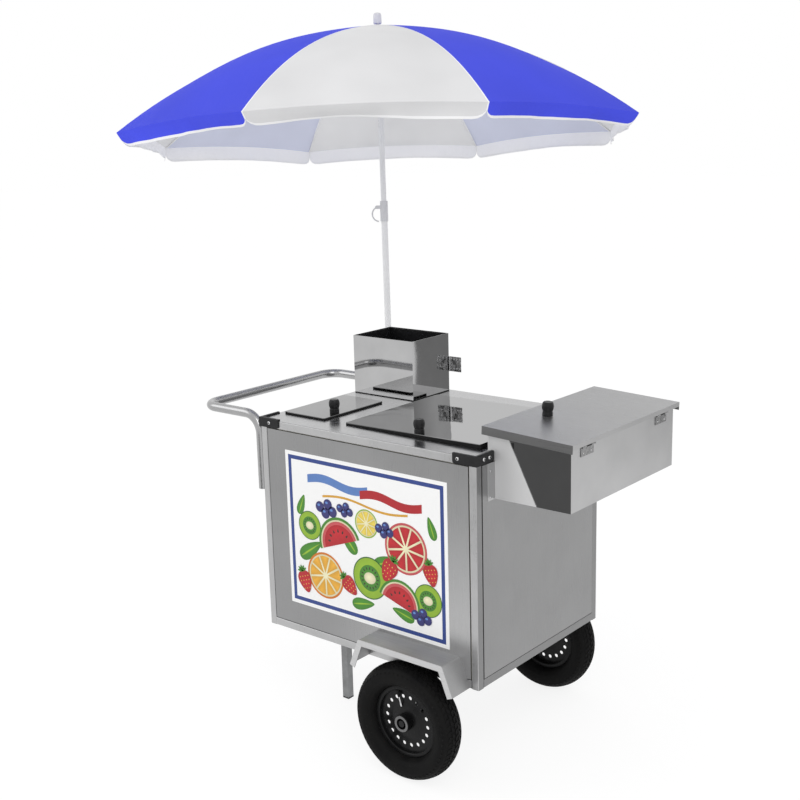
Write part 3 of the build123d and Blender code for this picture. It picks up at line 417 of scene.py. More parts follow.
# Makes plain mesh of what an object's modifiers give, and drops the object
def settle(holder):
    evaluated = holder.evaluated_get(bpy.context.evaluated_depsgraph_get())
    mesh = bpy.data.meshes.new_from_object(evaluated)
    holder.modifiers.clear()
    bpy.data.objects.remove(holder)
    return mesh


# Geometry Nodes: each tree ends in real mesh with its material
def startTree(name, socketShades):
    tree = bpy.data.node_groups.new(name, "GeometryNodeTree")
    for label, kind in {**socketShades, "Finish": "Material"}.items():
        tree.interface.new_socket(label, in_out="INPUT", socket_type="NodeSocket" + kind)
    tree.interface.new_socket("Geometry", in_out="OUTPUT", socket_type="NodeSocketGeometry")
    return tree, addNode(tree, "NodeGroupInput"), addNode(tree, "NodeGroupOutput")


def endTree(tree, given, geometry, result):
    realize = addNode(tree, "GeometryNodeRealizeInstances")
    paint = addNode(tree, "GeometryNodeSetMaterial")
    wire(tree, (geometry, realize.inputs[0]), (realize.outputs[0], paint.inputs["Geometry"]),
         (given.outputs["Finish"], paint.inputs["Material"]), (paint.outputs[0], result.inputs[0]))


def grow(tree, values, base=None):
    holder = addObject("holder", base or bpy.data.meshes.new("holder"))
    modifier = holder.modifiers.new("grow", "NODES")
    modifier.node_group = tree
    for item in tree.interface.items_tree:
        if item.in_out == "INPUT" and item.name in values:
            modifier[item.identifier] = values[item.name]
    return settle(holder)


# One shape repeated round the Z axis
def ringTree():
    tree, given, result = startTree("shapesInARing", {"Shape": "Object", "Count": "Int", "Phase": "Float"})
    points = addNode(tree, "GeometryNodePoints")
    shape = addNode(tree, "GeometryNodeObjectInfo")
    index = addNode(tree, "GeometryNodeInputIndex")
    step = addNode(tree, "ShaderNodeMath", {0: 2 * pi}, operation="DIVIDE")
    turn = addNode(tree, "ShaderNodeMath", operation="MULTIPLY_ADD")
    rotation = addNode(tree, "ShaderNodeCombineXYZ")
    copies = addNode(tree, "GeometryNodeInstanceOnPoints")
    wire(tree, (given.outputs["Count"], points.inputs["Count"]),
         (given.outputs["Shape"], shape.inputs["Object"]),
         (given.outputs["Count"], step.inputs[1]), (index.outputs[0], turn.inputs[0]),
         (step.outputs[0], turn.inputs[1]), (given.outputs["Phase"], turn.inputs[2]),
         (turn.outputs[0], rotation.inputs["Z"]), (rotation.outputs[0], copies.inputs["Rotation"]),
         (points.outputs[0], copies.inputs["Points"]),
         (shape.outputs["Geometry"], copies.inputs["Instance"]))
    endTree(tree, given, copies.outputs[0], result)
    return tree


# One fastener on each point, turned to face the way that the point says
def fastenerTree():
    tree, given, result = startTree("fastenersOnPoints", {"Points": "Geometry", "Head": "Object"})
    points = addNode(tree, "GeometryNodeMeshToPoints")
    head = addNode(tree, "GeometryNodeObjectInfo")
    way = addNode(tree, "GeometryNodeInputNamedAttribute", {"Name": "facing"}, data_type="FLOAT_VECTOR")
    align = addNode(tree, "FunctionNodeAlignRotationToVector", axis="Z")
    copies = addNode(tree, "GeometryNodeInstanceOnPoints")
    wire(tree, (given.outputs["Points"], points.inputs["Mesh"]),
         (given.outputs["Head"], head.inputs["Object"]),
         (way.outputs[0], align.inputs["Vector"]), (align.outputs[0], copies.inputs["Rotation"]),
         (points.outputs[0], copies.inputs["Points"]),
         (head.outputs["Geometry"], copies.inputs["Instance"]))
    endTree(tree, given, copies.outputs[0], result)
    return tree


# A strip of rectangular section laid round a rectangle
def sealTree():
    tree, given, result = startTree("sealRoundPanel", {"Width": "Float", "Height": "Float", "Strip": "Float",
                                                       "Depth": "Float"})
    path = addNode(tree, "GeometryNodeCurvePrimitiveQuadrilateral")
    section = addNode(tree, "GeometryNodeCurvePrimitiveQuadrilateral")
    strip = addNode(tree, "GeometryNodeCurveToMesh")
    for part, across, up in ((path, "Width", "Height"), (section, "Strip", "Depth")):
        wire(tree, (given.outputs[across], part.inputs["Width"]), (given.outputs[up], part.inputs["Height"]))
    wire(tree, (path.outputs[0], strip.inputs["Curve"]), (section.outputs[0], strip.inputs["Profile Curve"]))
    endTree(tree, given, strip.outputs[0], result)
    return tree


ringShapes, pointFasteners, panelSeals = ringTree(), fastenerTree(), sealTree()


def ringMesh(shapeMesh, count, phase, finish):
    shape = addObject("ringShape", shapeMesh)
    mesh = grow(ringShapes, {"Shape": shape, "Count": count, "Phase": phase, "Finish": finish})
    bpy.data.objects.remove(shape)
    return mesh


def fastenerMesh(headMesh, spots, finish):
    base = bpy.data.meshes.new("spots")
    base.from_pydata([spot for spot, way in spots], [], [])
    directions = base.attributes.new("facing", "FLOAT_VECTOR", "POINT")
    for value, (spot, way) in zip(directions.data, spots):
        value.vector = way
    head = addObject("fastenerHead", headMesh)
    mesh = grow(pointFasteners, {"Head": head, "Finish": finish}, base)
    bpy.data.objects.remove(head)
    return mesh


# Umbrella pole: heights run along the leaning axis from the counter's level
mast = {"outLeft": 0.0411, "outBack": 0.0373, "leanLeft": 3.85, "leanBack": 3.96}
mastFoot = Vector((left - mast["outLeft"], back + mast["outBack"], counter))
mastAxis = Vector((-tan(radians(mast["leanLeft"])), tan(radians(mast["leanBack"])), 1)).normalized()
mastAcross = Vector((mastAxis.z, 0, -mastAxis.x)).normalized()
mastAlong = mastAxis.cross(mastAcross)


def outward(heading):
    return mastAcross * cos(radians(heading)) + mastAlong * sin(radians(heading))


def onMast(heading, radius, height):
    return mastFoot + outward(heading) * radius + mastAxis * height


# Canopy cloth: plain weave, creases from folding, and a paler underside, a coating lightened as painted light
# for daylight through the cloth
weave = {"threads": 1500, "distortion": 0.4, "relief": 0.15, "depth": 0.0003, "creaseStretch": 0.35,
         "creaseDepth": 0.006, "clouds": 3, "dark": 0.95, "light": 1.04, "least": 0.9, "most": 1.1}


def clothFinish(name, look):
    material, tree, shader = startMaterial(name, look["color"], look["rough"])
    coords = addNode(tree, "ShaderNodeTexCoord")
    threads = []
    for turn in (0, pi / 2):
        mapping = addNode(tree, "ShaderNodeMapping", {"Rotation": (0, 0, turn)})
        wave = addNode(tree, "ShaderNodeTexWave",
                       {"Scale": weave["threads"], "Distortion": weave["distortion"]})
        wire(tree, (coords.outputs["UV"], mapping.inputs["Vector"]),
             (mapping.outputs["Vector"], wave.inputs["Vector"]))
        threads.append(wave.outputs["Fac"])
    woven = combine(tree, *threads, operation="MAXIMUM")
    stretched = (look["creases"], look["creases"] * weave["creaseStretch"], 1)
    creases = noiseOn(tree, stretched, detail=3.0, space="UV")
    clouds = spread(tree, noiseOn(tree, weave["clouds"], detail=2.0), 0, 1)
    color = blend(tree, clouds, shade(look["color"], weave["dark"]), shade(look["color"], weave["light"]))
    rough = spread(tree, woven, look["rough"] * weave["least"], look["rough"] * weave["most"], 0, 1)
    wire(tree, (color, shader.inputs["Base Color"]), (rough, shader.inputs["Roughness"]))
    addRelief(tree, shader, woven, weave["relief"], weave["depth"])
    addRelief(tree, shader, creases, look["crease"], weave["creaseDepth"])
    shader.inputs["Specular IOR Level"].default_value = look["gloss"]
    shader.inputs["Emission Color"].default_value = (*look["color"], 1)   # stands for daylight through it
    shader.inputs["Emission Strength"].default_value = look.get("glow", 0.0)
    return material


cloths = {
    "whiteCloth": {"color": (0.78, 0.78, 0.79), "rough": 0.62, "creases": 16, "crease": 0.25, "gloss": 0.3},
    "blueCloth": {"color": (0.068, 0.088, 0.78), "rough": 0.65, "creases": 16, "crease": 0.25, "gloss": 0.08},
    # painted light: the flaps' blue is lighter than the roof's, to offset the shade where they turn in
    "blueFlapPaintedLight": {"color": (0.078, 0.1, 0.88), "rough": 0.65, "creases": 24, "crease": 0.5, "gloss": 0.08},
    # undersides paler than the outside: a coating, lightened as painted light for daylight through the cloth
    "whiteBacking": {"color": (0.92, 0.92, 0.93), "rough": 0.6, "creases": 16, "crease": 0.2, "gloss": 0.2},
    "blueBacking": {"color": (0.76, 0.79, 0.95), "rough": 0.6, "creases": 16, "crease": 0.2, "gloss": 0.2},
    "flapBacking": {"color": (0.93, 0.93, 0.96), "rough": 0.6, "creases": 24, "crease": 0.6, "gloss": 0.2,
                    "glow": 0.12},
    "hemTape": {"color": (0.93, 0.93, 0.94), "rough": 0.7, "creases": 30, "crease": 0.1, "gloss": 0.2,
                "glow": 0.06},
}
clothSet = {name: clothFinish(name, look) for name, look in cloths.items()}

# Waves of the flaps are (number round the rim, phase, size)
canopy = {"apexHole": 0.0065, "radius": 0.9, "apex": 1.2144, "rim": 0.8557, "bow": 0.054, "below": 0.003,
          "crown": 0.025, "lift": 0.011, "skew": 1.6, "belly": 0.02, "rimPull": 0.014, "rimLift": 0.012,
          "rimSharp": 5, "flap": 0.052, "flapCorner": 0.03, "hem": 0.008, "seamWidth": 0.03, "sheet": 0.0006,
          "columns": 20, "rows": 22, "flapRows": 8, "firstHeading": 284.77, "ribs": ribCount, "keep": 0.1,
          "tuck": 18, "lean": 24, "breeze": 310, "swing": 9, "ripple": 0.003, "rippleSharp": 1.5,
          "slowWaves": [(5, 1.1, 1), (11, 0, 0.6)], "quickWaves": [(37, 0.7, 1), (59, 0, 0.7)],
          "mapWidth": 0.35, "mapFlap": 0.08, "allowance": 0.03, "sharp": 40,
          "outside": ["whiteCloth", "blueCloth", "whiteCloth", "blueFlapPaintedLight"],      # roof, then flap, by colour
          "inside": ["whiteBacking", "blueBacking", "flapBacking", "flapBacking"], "tape": "hemTape"}
chord = sqrt(canopy["radius"] ** 2 + (canopy["apex"] - canopy["rim"]) ** 2)
arcRadius = (chord ** 2 / 4 + canopy["bow"] ** 2) / (2 * canopy["bow"])
arcSink = (arcRadius - canopy["bow"]) / chord
arcX = canopy["radius"] / 2 - arcSink * (canopy["apex"] - canopy["rim"])
arcHeight = (canopy["apex"] + canopy["rim"]) / 2 - arcSink * canopy["radius"]
halfPanel = 180 / canopy["ribs"]


def crest(radius):
    return arcHeight + sqrt(arcRadius ** 2 - (radius - arcX) ** 2) - canopy["below"]


# A point of the cloth: share runs from the apex to the rim, aside from a rib (0) to mid panel (1 or -1)
def clothPoint(heading, aside, share):
    radius = canopy["apexHole"] + (canopy["radius"] - canopy["apexHole"]) * share
    turn = abs(aside) * halfPanel
    middle = 1 - (1 - abs(aside)) ** 2
    reach = radius * cos(radians(halfPanel)) / cos(radians(halfPanel - turn))
    rise = sin(pi * min(share, 1.0) ** canopy["skew"])
    swell = middle * rise
    nearRim = share ** canopy["rimSharp"]
    reach += radius * canopy["belly"] * swell - canopy["rimPull"] * middle * nearRim
    height = crest(radius) + canopy["lift"] * rise + canopy["crown"] * swell
    height += canopy["rimLift"] * middle * nearRim
    return onMast(heading + aside * halfPanel, reach, height)


def flapLength(aside):
    corner = canopy["flapCorner"]
    away = canopy["radius"] * abs(aside) * radians(halfPanel)
    if away >= corner:
        return canopy["flap"]
    return canopy["flap"] - corner + sqrt(corner ** 2 - (corner - away) ** 2)


def waveSum(waves, around):
    return sum(size * sin(count * around + phase) for count, phase, size in waves)


# A flap turns in under the rim, leans with a light breeze, swings a little and ripples along its hem
def flapPoint(heading, aside, share):
    turn = heading + aside * halfPanel
    swing = canopy["swing"] * waveSum(canopy["slowWaves"], radians(turn)) * share
    tilt = radians(canopy["tuck"] + canopy["lean"] * cos(radians(turn - canopy["breeze"])) + swing)
    quick = waveSum(canopy["quickWaves"], radians(turn))
    ripple = canopy["ripple"] * quick * share ** canopy["rippleSharp"]
    length = flapLength(aside) * share
    down = mastAxis * length * cos(tilt)
    return clothPoint(heading, aside, 1.0) + outward(turn) * (ripple - length * sin(tilt)) - down


def canopySector(index):
    heading = canopy["firstHeading"] + 360 / canopy["ribs"] * index
    columns, rows, flapRows = canopy["columns"], canopy["rows"], canopy["flapRows"]
    asides = [0.5 - 0.5 * cos(pi * step / columns) for step in range(columns + 1)]
    asides = [-aside for aside in reversed(asides[1:])] + asides
    hemShare = 1 - canopy["hem"] / canopy["flap"]
    flapShares = [hemShare * (step + 1) / flapRows for step in range(flapRows)] + [1.0]
    levels = [(clothPoint, step / rows) for step in range(rows + 1)]
    levels += [(flapPoint, share) for share in flapShares]
    places, mapped = [], []
    for maker, share in levels:
        wide, down = (share, share) if maker is clothPoint else (1, 1 + canopy["mapFlap"] * share)
        for aside in asides:
            places.append(maker(heading, aside, share))
            mapped.append((aside * canopy["mapWidth"] * wide, down))
    count = len(asides)
    tapeIndex = len(canopy["outside"] + canopy["inside"])
    faces, inks = [], []
    for level in range(len(levels) - 1):
        for column in range(count - 1):
            corner = level * count + column
            faces.append((corner, corner + count, corner + count + 1, corner + 1))
            panel = index if asides[column] >= 0 else index - 1
            seam = abs(asides[column] + asides[column + 1]) < canopy["seamWidth"] or level == len(levels) - 2
            inks.append(tapeIndex if seam else panel % 2 + 2 * (level >= rows))
    mesh = bpy.data.meshes.new("sector")
    mesh.from_pydata(places, [], faces)
    layer = mesh.uv_layers.new(name="cut")
    for loop in mesh.loops:
        layer.data[loop.index].uv = mapped[loop.vertex_index]
    for face, ink in zip(mesh.polygons, inks):
        face.material_index = ink
        face.use_smooth = True
    area = sum(face.area for face in mesh.polygons)
    return heading, mesh, area


# Solidify turns each sector into cloth with an outer face and a paler underside, a coating lightened as
# painted light
def thicken(mesh):
    holder = addObject("holder", mesh)
    for name in canopy["outside"] + canopy["inside"] + [canopy["tape"]]:
        mesh.materials.append(clothSet[name])
    wall = holder.modifiers.new("wall", "SOLIDIFY")
    wall.thickness = canopy["sheet"]
    wall.offset = -1
    wall.material_offset = len(canopy["outside"])
    thick = settle(holder)
    thick.set_sharp_from_angle(angle=radians(canopy["sharp"]))
    return thick


def addCanopy():
    for index in range(canopy["ribs"]):
        heading, mesh, area = canopySector(index)
        mesh = thicken(mesh)
        piece = addPiece(f"canopySector{index + 1}", mesh, [], f"rib_{index + 1}")
        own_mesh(piece)
        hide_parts("canopy")
    print("canopy of", canopy["ribs"], "sectors")


addCanopy()


# Knuckle of the plate at the container's rear edge, in three barrels
knuckle = {"radius": 0.0032, "pin": 0.0026, "gap": 0.0008, "barrels": 3, "aside": 0.0045, "proud": 0.001,
           "steps": 24}


def addKnuckle():
    low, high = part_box("container_plate")
    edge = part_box("container")[1].x
    long = (high.z - low.z) / knuckle["barrels"]
    pin, radius = knuckle["pin"], knuckle["radius"]
    profile = [(0, 0)]
    for index in range(knuckle["barrels"]):
        start, end = index * long + knuckle["gap"], (index + 1) * long - knuckle["gap"]
        profile += [(pin, index * long), (pin, start), (radius, start), (radius, end), (pin, end)]
    profile.append((0, knuckle["barrels"] * long))
    spot = Matrix.Translation((edge + knuckle["aside"], low.y - knuckle["proud"], low.z))
    mesh = closeShape(turned(profile, knuckle["steps"]), spot)
    addPiece("plateKnuckle", mesh, [finishes["brightFastener"]], "cart")
    print("knuckle on the plate")


addKnuckle()


# Cap on the top of the pole
cap = {"profile": [(0, 0), (0.006, 0), (0.006, 0.007), (0.0132, 0.008), (0.0142, 0.0105), (0.0136, 0.036),
                   (0.0118, 0.0418), (0.0075, 0.0443), (0, 0.045)], "steps": 32}


def addCap():
    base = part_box("finial")[0].z
    spot = mastFoot + mastAxis * ((base - mastFoot.z) / mastAxis.z)
    lean = Matrix.Translation(spot) @ Vector((0, 0, 1)).rotation_difference(mastAxis).to_matrix().to_4x4()
    mesh = closeShape(turned(cap["profile"], cap["steps"]), lean)
    piece = addPiece("poleCap", mesh, [finishes["fittingPlastic"]], "upper_pole")
    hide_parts("finial")
    print("cap on the pole")


addCap()


# Tyres: a turned carcass, rows of small blocks round the crown and lugs on the shoulders
# A block's corner is (share of the pitch, side); a lug's is (share of the pitch, place across, foot, top)
tyre = {"radius": 0.1775, "bead": 0.1, "wallFoot": 0.11, "beadHalf": 0.012, "belly": 0.0438,
        "shoulder": 0.1655, "crownHalf": 0.037, "treadDepth": 0.0026, "treadFade": 3, "blocks": 60, "rows": 5,
        "rowPitch": 0.0128, "blockWidth": 0.0094, "blockFoot": 0.006, "slant": 0.16, "stagger": 0.5,
        "lugTurn": 0.25, "wallSteps": 22, "crownSteps": 7, "steps": 120, "sharp": 50,
        "raised": (6, 7, 10, 11), "raise": 0.0007,
        "block": [(-0.33, -1), (0.33, -1), (0.33, 1), (-0.33, 1)],
        "lug": [(-0.3, 0.034, 0.158, 0.1668), (0.3, 0.034, 0.158, 0.1668),
                (0.24, 0.0432, 0.148, 0.1585), (-0.24, 0.0432, 0.148, 0.1585)]}


def arcThrough(start, middle, end, count):
    (ax, ay), (bx, by), (cx, cy) = start, middle, end
    double = 2 * (ax * (by - cy) + bx * (cy - ay) + cx * (ay - by))
    one, two, three = ax * ax + ay * ay, bx * bx + by * by, cx * cx + cy * cy
    x = (one * (by - cy) + two * (cy - ay) + three * (ay - by)) / double
    y = (one * (cx - bx) + two * (ax - cx) + three * (bx - ax)) / double
    size = hypot(ax - x, ay - y)
    first, last = atan2(ay - y, ax - x), atan2(cy - y, cx - x)
    turns = [first + (last - first) * step / count for step in range(count + 1)]
    return [(x + size * cos(turn), y + size * sin(turn)) for turn in turns]


crownRise = tyre["radius"] - tyre["shoulder"]
crownArc = (tyre["crownHalf"] ** 2 + crownRise ** 2) / (2 * crownRise)


def crownAt(across):
    return tyre["radius"] - crownArc + sqrt(crownArc ** 2 - across ** 2)


def tyreCarcass():
    bead, beadHalf, crownHalf = tyre["bead"], tyre["beadHalf"], tyre["crownHalf"]
    belly = ((tyre["wallFoot"] + tyre["shoulder"]) / 2, tyre["belly"])
    wall = arcThrough((tyre["wallFoot"], beadHalf), belly, (tyre["shoulder"], crownHalf), tyre["wallSteps"])
    for step in tyre["raised"]:
        wall[step] = (wall[step][0], wall[step][1] + tyre["raise"])           # raised rings on the side wall
    top = []
    for step in range(1, 2 * tyre["crownSteps"]):
        across = crownHalf * (1 - step / tyre["crownSteps"])
        fall = tyre["treadDepth"] * (1 - abs(across / crownHalf) ** tyre["treadFade"])
        top.append((crownAt(across) - fall, across))
    lower = [(radius, -across) for radius, across in reversed(wall)]
    profile = [(bead, beadHalf)] + wall + top + lower + [(bead, -beadHalf)]
    return turned(profile, steps=tyre["steps"], loop=True)


# Each corner of a lug has its angle, its place across the tyre, and its foot and top radius
def lugMesh(corners):
    shape = bmesh.new()
    rings = []
    for level in (2, 3):                                 # foot, then top
        spots = [(*polar(0, 0, corner[level], radians(corner[0])), corner[1]) for corner in corners]
        rings.append([shape.verts.new(spot) for spot in spots])
    shape.faces.new(list(reversed(rings[0])))
    shape.faces.new(rings[1])
    for index in range(len(corners)):
        after = (index + 1) % len(corners)
        shape.faces.new((rings[0][index], rings[0][after], rings[1][after], rings[1][index]))
    return closeShape(shape)


def treadMeshes():
    pitch = 360 / tyre["blocks"]
    rubber = finishes["tyreRubber"]
    meshes = []
    for row in range(tyre["rows"]):
        middle = tyre["rowPitch"] * (row - (tyre["rows"] - 1) / 2)
        slant = tyre["slant"] * pitch * (1 if row % 2 else -1)
        corners = []
        for turn, side in tyre["block"]:
            across = middle + side * tyre["blockWidth"] / 2
            top = crownAt(across)
            corners.append((turn * pitch + side * slant, across, top - tyre["blockFoot"], top))
        turn = radians(pitch * tyre["stagger"] * (row % 2))
        meshes.append(ringMesh(lugMesh(corners), tyre["blocks"], turn, rubber))
    for side in (1, -1):
        corners = [(turn * pitch, side * across, foot, top) for turn, across, foot, top in tyre["lug"]]
        meshes.append(ringMesh(lugMesh(corners), tyre["blocks"], radians(pitch * tyre["lugTurn"]), rubber))
    return meshes


# Rims: a rolled barrel, a pressed disc with a ring of holes, and a hub with a bearing at each end
rim = {"barrel": [(0.1, -0.012), (0.1075, -0.012), (0.109, -0.0126), (0.109, -0.0148), (0.1075, -0.0155),
                  (0.0985, -0.0155), (0.097, -0.014), (0.097, 0.014), (0.0985, 0.0155), (0.1075, 0.0155),
                  (0.109, 0.0148), (0.109, 0.0126), (0.1075, 0.012), (0.1, 0.012)],
       "disc": [(0.025, 0.0065), (0.05, 0.0065), (0.057, 0.0025), (0.0975, 0.0025), (0.0975, 0.0055),
                (0.0585, 0.0055), (0.0515, 0.0095), (0.025, 0.0095)],
       "hub": [(0.0165, -0.034), (0.025, -0.034), (0.026, -0.033), (0.026, 0.032), (0.025, 0.033),
               (0.0165, 0.033)],
       "bearing": [(0.0166, 0.0325), (0.0238, 0.0325), (0.0242, 0.0333), (0.0236, 0.0338), (0.0172, 0.0338),
                   (0.0166, 0.0334)],
       "innerBearing": [(0.0166, -0.0335), (0.024, -0.0335), (0.024, -0.0345), (0.0166, -0.0345)],
       "holes": 18, "holeCircle": 0.075, "holeRadius": 0.006, "punch": 0.02, "holeSteps": 20,
       "rimSteps": 96, "hubSteps": 48}


def pierced(mesh, cutterMesh):
    holder, cutter = addObject("holder", mesh), addObject("cutter", cutterMesh)
    holes = holder.modifiers.new("holes", "BOOLEAN")
    holes.operation, holes.solver, holes.object = "DIFFERENCE", "EXACT", cutter
    result = settle(holder)
    bpy.data.objects.remove(cutter)
    return result


def ringPart(part, steps):
    return closeShape(turned(rim[part], rim[steps], loop=True))


def rimMesh():
    size, reach = rim["holeRadius"], rim["punch"]
    profile = [(0, -reach), (size, -reach), (size, reach), (0, reach)]
    punch = closeShape(turned(profile, rim["holeSteps"]), Matrix.Translation((rim["holeCircle"], 0, 0)))
    punches = ringMesh(punch, rim["holes"], 0.0, finishes["rimPaint"])
    disc = pierced(ringPart("disc", "rimSteps"), punches)
    disc.set_sharp_from_angle(angle=radians(crisp))
    return joinMeshes([ringPart("barrel", "rimSteps"), disc, ringPart("hub", "hubSteps")])


# The valve stands on the rim's barrel and points to the hub: a rubber foot, then a bright stem with its cap
valve = {"tip": 0.046, "joint": 0.0745, "aside": 0.0125, "turn": 107, "steps": 20,
         "stem": [(0, 0), (0.0028, 0), (0.0034, 0.0008), (0.0034, 0.011), (0.0027, 0.0115), (0.0027, 0.0205),
                  (0.0031, 0.021), (0.0031, 0.0286), (0, 0.0286)],
         "foot": [(0, 0), (0.0036, 0), (0.0041, 0.004), (0.0046, 0.014), (0.0064, 0.0205), (0.0064, 0.0222),
                  (0, 0.0222)]}


def addWheels():
    for side, away in (("front", -1), ("rear", 1)):
        wheel = f"{side}_wheel"
        low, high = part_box(f"{side}_tyre")
        middle = (low + high) / 2
        mesh = joinMeshes([closeShape(tyreCarcass(), sharp=tyre["sharp"])] + treadMeshes())
        mesh.transform(Matrix.Translation(middle) @ Matrix.Rotation(radians(90), 4, "X"))
        piece = addPiece(f"{side}Tyre", mesh, [finishes["tyreRubber"]], wheel)
        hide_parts(f"{side}_tyre")
        outside = Matrix.Translation(middle) @ Matrix.Rotation(radians(-90 * away), 4, "X")
        mesh = rimMesh()
        mesh.transform(outside)
        piece = addPiece(f"{side}Rim", mesh, [finishes["rimPaint"]], wheel)
        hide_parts(f"{side}_rim")
        mesh = joinMeshes([ringPart(part, "hubSteps") for part in ("bearing", "innerBearing")])
        mesh.transform(outside)
        piece = addPiece(f"{side}Bearings", mesh, [finishes["bearingSteel"]], wheel)
        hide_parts(f"{side}_bearings")
        inward = Matrix.Rotation(radians(90 - valve["turn"]), 4, "Y")
        for part, start, finish, slot in (("stem", "tip", "brightFastener", "polished_steel"),
                                          ("foot", "joint", "gasketRubber", "black_rubber")):
            spot = middle + Vector((0, away * valve["aside"], 0)) + inward @ Vector((0, 0, valve[start]))
            mesh = closeShape(turned(valve[part], valve["steps"]), Matrix.Translation(spot) @ inward)
            addPiece(f"{side}Valve{part.title()}", mesh, [finishes[finish]], wheel)
    print("tyres, rims, bearings and valves on both wheels")


addWheels()


# Dark seals fill the groove round each panel, between the bars of the frame
seal = {"strip": 0.0016, "depth": 0.0012, "below": 0.0012, "bar": 0.025, "gap": 0.00125,
        "counterSheet": 0.0015}


def addSeals():
    inset = seal["bar"] + seal["gap"]
    top = counter - seal["counterSheet"]
    height = (top - seal["bar"] - seal["gap"]) - (bottom + inset)
    middleX, middleY, middleZ = (left + right) / 2, (front + back) / 2, (bottom + top) / 2
    across, deep, below = right - left - 2 * inset, back - front - 2 * inset, seal["below"]
    meshes = []
    for x, y, width, turn in ((middleX, front + below, across, 0), (middleX, back - below, across, 180),
                              (right - below, middleY, deep, 90), (left + below, middleY, deep, -90)):
        mesh = grow(panelSeals, {"Width": width, "Height": height, "Strip": seal["strip"],
                                 "Depth": seal["depth"], "Finish": finishes["gasketRubber"]})
        upright = Matrix.Rotation(radians(turn), 4, "Z") @ Matrix.Rotation(radians(90), 4, "X")
        mesh.transform(Matrix.Translation((x, y, middleZ)) @ upright)
        meshes.append(mesh)
    addPiece("panelSeals", joinMeshes(meshes), [finishes["gasketRubber"]], "cart")
    print("seals round", len(meshes), "panels")


addSeals()


# Fasteners: domed screws and larger bolts, each with a near-black disc in its socket as painted shade
bolt = {"head": [(0, 0.0012), (0.0025, 0.0012), (0.0028, 0.0033), (0.004, 0.003), (0.0051, 0.002),
                 (0.0055, 0.0008), (0.0055, -0.0004), (0, -0.0004)],
        "socketShade": [(0, 0.0019), (0.0024, 0.0019), (0.0024, 0.0013), (0, 0.0013)]}
screw = {"head": [(0, 0.0006), (0.0012, 0.0006), (0.0014, 0.0016), (0.0024, 0.0014), (0.003, 0.0004),
                  (0.003, -0.0004), (0, -0.0004)],
         "socketShade": [(0, 0.001), (0.0012, 0.001), (0.0012, 0.0007), (0, 0.0007)]}
# Caps, handle, mast and flange in millimetres from the cabinet's lower front left corner
# Hinge and plate in metres from their own edges
fastening = {"cap": 4.0, "capLevel": 670, "near": 40, "far": 60, "endBolts": (30, 56), "bar": 12.5,
             "handle": 30.0, "handleLevels": (590, 490), "mastPlate": 4, "mastLevels": (610, 580),
             "flange": 1.2, "flangeBack": 65, "flangeLevels": (553, 628), "hinge": (0.013, 0.052),
             "hingeLeaf": 0.002, "hingeRise": 0.009, "plate": (0.006, 0.018, 0.03, 0.042), "plateRow": 0.009,
             "headSteps": 24, "socketSteps": 6}


def fromCabinet(x, y, z):
    return Vector((left + x / 1000, front + y / 1000, bottom + z / 1000))


def addFasteners():
    wide, deep = (right - left) * 1000, (back - front) * 1000
    proud, near, far, level = (fastening[key] for key in ("cap", "near", "far", "capLevel"))
    toFront, toRight, toLeft, toBack = (0, -1, 0), (1, 0, 0), (-1, 0, 0), (0, 1, 0)
    bolts = [(fromCabinet(x, -proud, level), toFront) for x in (near, wide - far)]
    bolts += [(fromCabinet(wide + proud, y, level), toRight) for y in fastening["endBolts"]]
    bolts += [(fromCabinet(-proud, y, level), toLeft) for y in (near, deep - near)]
    bolts += [(fromCabinet(x, deep + proud, level), toBack) for x in (near, wide - far)]
    bar = fastening["bar"]
    bolts += [(fromCabinet(-fastening["handle"], y, z), toLeft) for y in (bar, deep - bar)
              for z in fastening["handleLevels"]]
    bolts += [(fromCabinet(bar, deep + fastening["mastPlate"], z), toBack) for z in fastening["mastLevels"]]
    screws = [(fromCabinet(wide + fastening["flange"], fastening["flangeBack"], z), toRight)
              for z in fastening["flangeLevels"]]
    low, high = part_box("box_hinge_leaves")
    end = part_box("side_box")[1].x + fastening["hingeLeaf"]
    near, far = fastening["hinge"]
    for y in (low.y + near, low.y + far, high.y - far, high.y - near):
        screws.append((Vector((end, y, low.z + fastening["hingeRise"])), toRight))
    low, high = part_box("container_plate")
    for aside in fastening["plate"]:
        for z in (low.z + fastening["plateRow"], high.z - fastening["plateRow"]):
            screws.append((Vector((high.x - aside, low.y, z)), toFront))
    for name, look, spots in (("bolt", bolt, bolts), ("screw", screw, screws)):
        head = closeShape(turned(look["head"], fastening["headSteps"]))
        heads = fastenerMesh(head, spots, finishes["brightFastener"])
        addPiece(name + "Heads", heads, [], "cart")
        # a near-black disc in each socket stands for the shade in its hole: painted shade
        socketShade = closeShape(turned(look["socketShade"], fastening["socketSteps"]))
        socketShades = fastenerMesh(socketShade, spots, finishes["capPlastic"])
        addPiece(name + "Sockets", socketShades, [], "cart")
    print("fasteners:", len(bolts) + len(screws))


addFasteners()


# Poster: white sheet, blue border and a loose pattern of cut fruit
inkColors = {"paper": (0.99, 0.99, 0.985), "border": (0.026, 0.062, 0.28), "red": (0.5, 0.012, 0.02),
             "pink": (0.62, 0.09, 0.1), "orange": (0.72, 0.2, 0.012), "amber": (0.78, 0.4, 0.04),
             "yellow": (0.8, 0.62, 0.1), "cream": (0.82, 0.76, 0.5), "lime": (0.3, 0.5, 0.03),
             "green": (0.06, 0.25, 0.02), "leaf": (0.02, 0.12, 0.02), "berry": (0.03, 0.03, 0.16),
             "sky": (0.12, 0.25, 0.6), "seed": (0.03, 0.015, 0.01)}
inkLook = {"rough": 0.42, "dots": 900, "clouds": 30, "mottle": 0.3, "mottleSpan": (0.7, 1.3),
           "swell": (0.15, 0.75), "paperShade": 0.98, "inkShade": 0.74, "light": 1.25, "relief": 0.05,
           "depth": 0.0002}


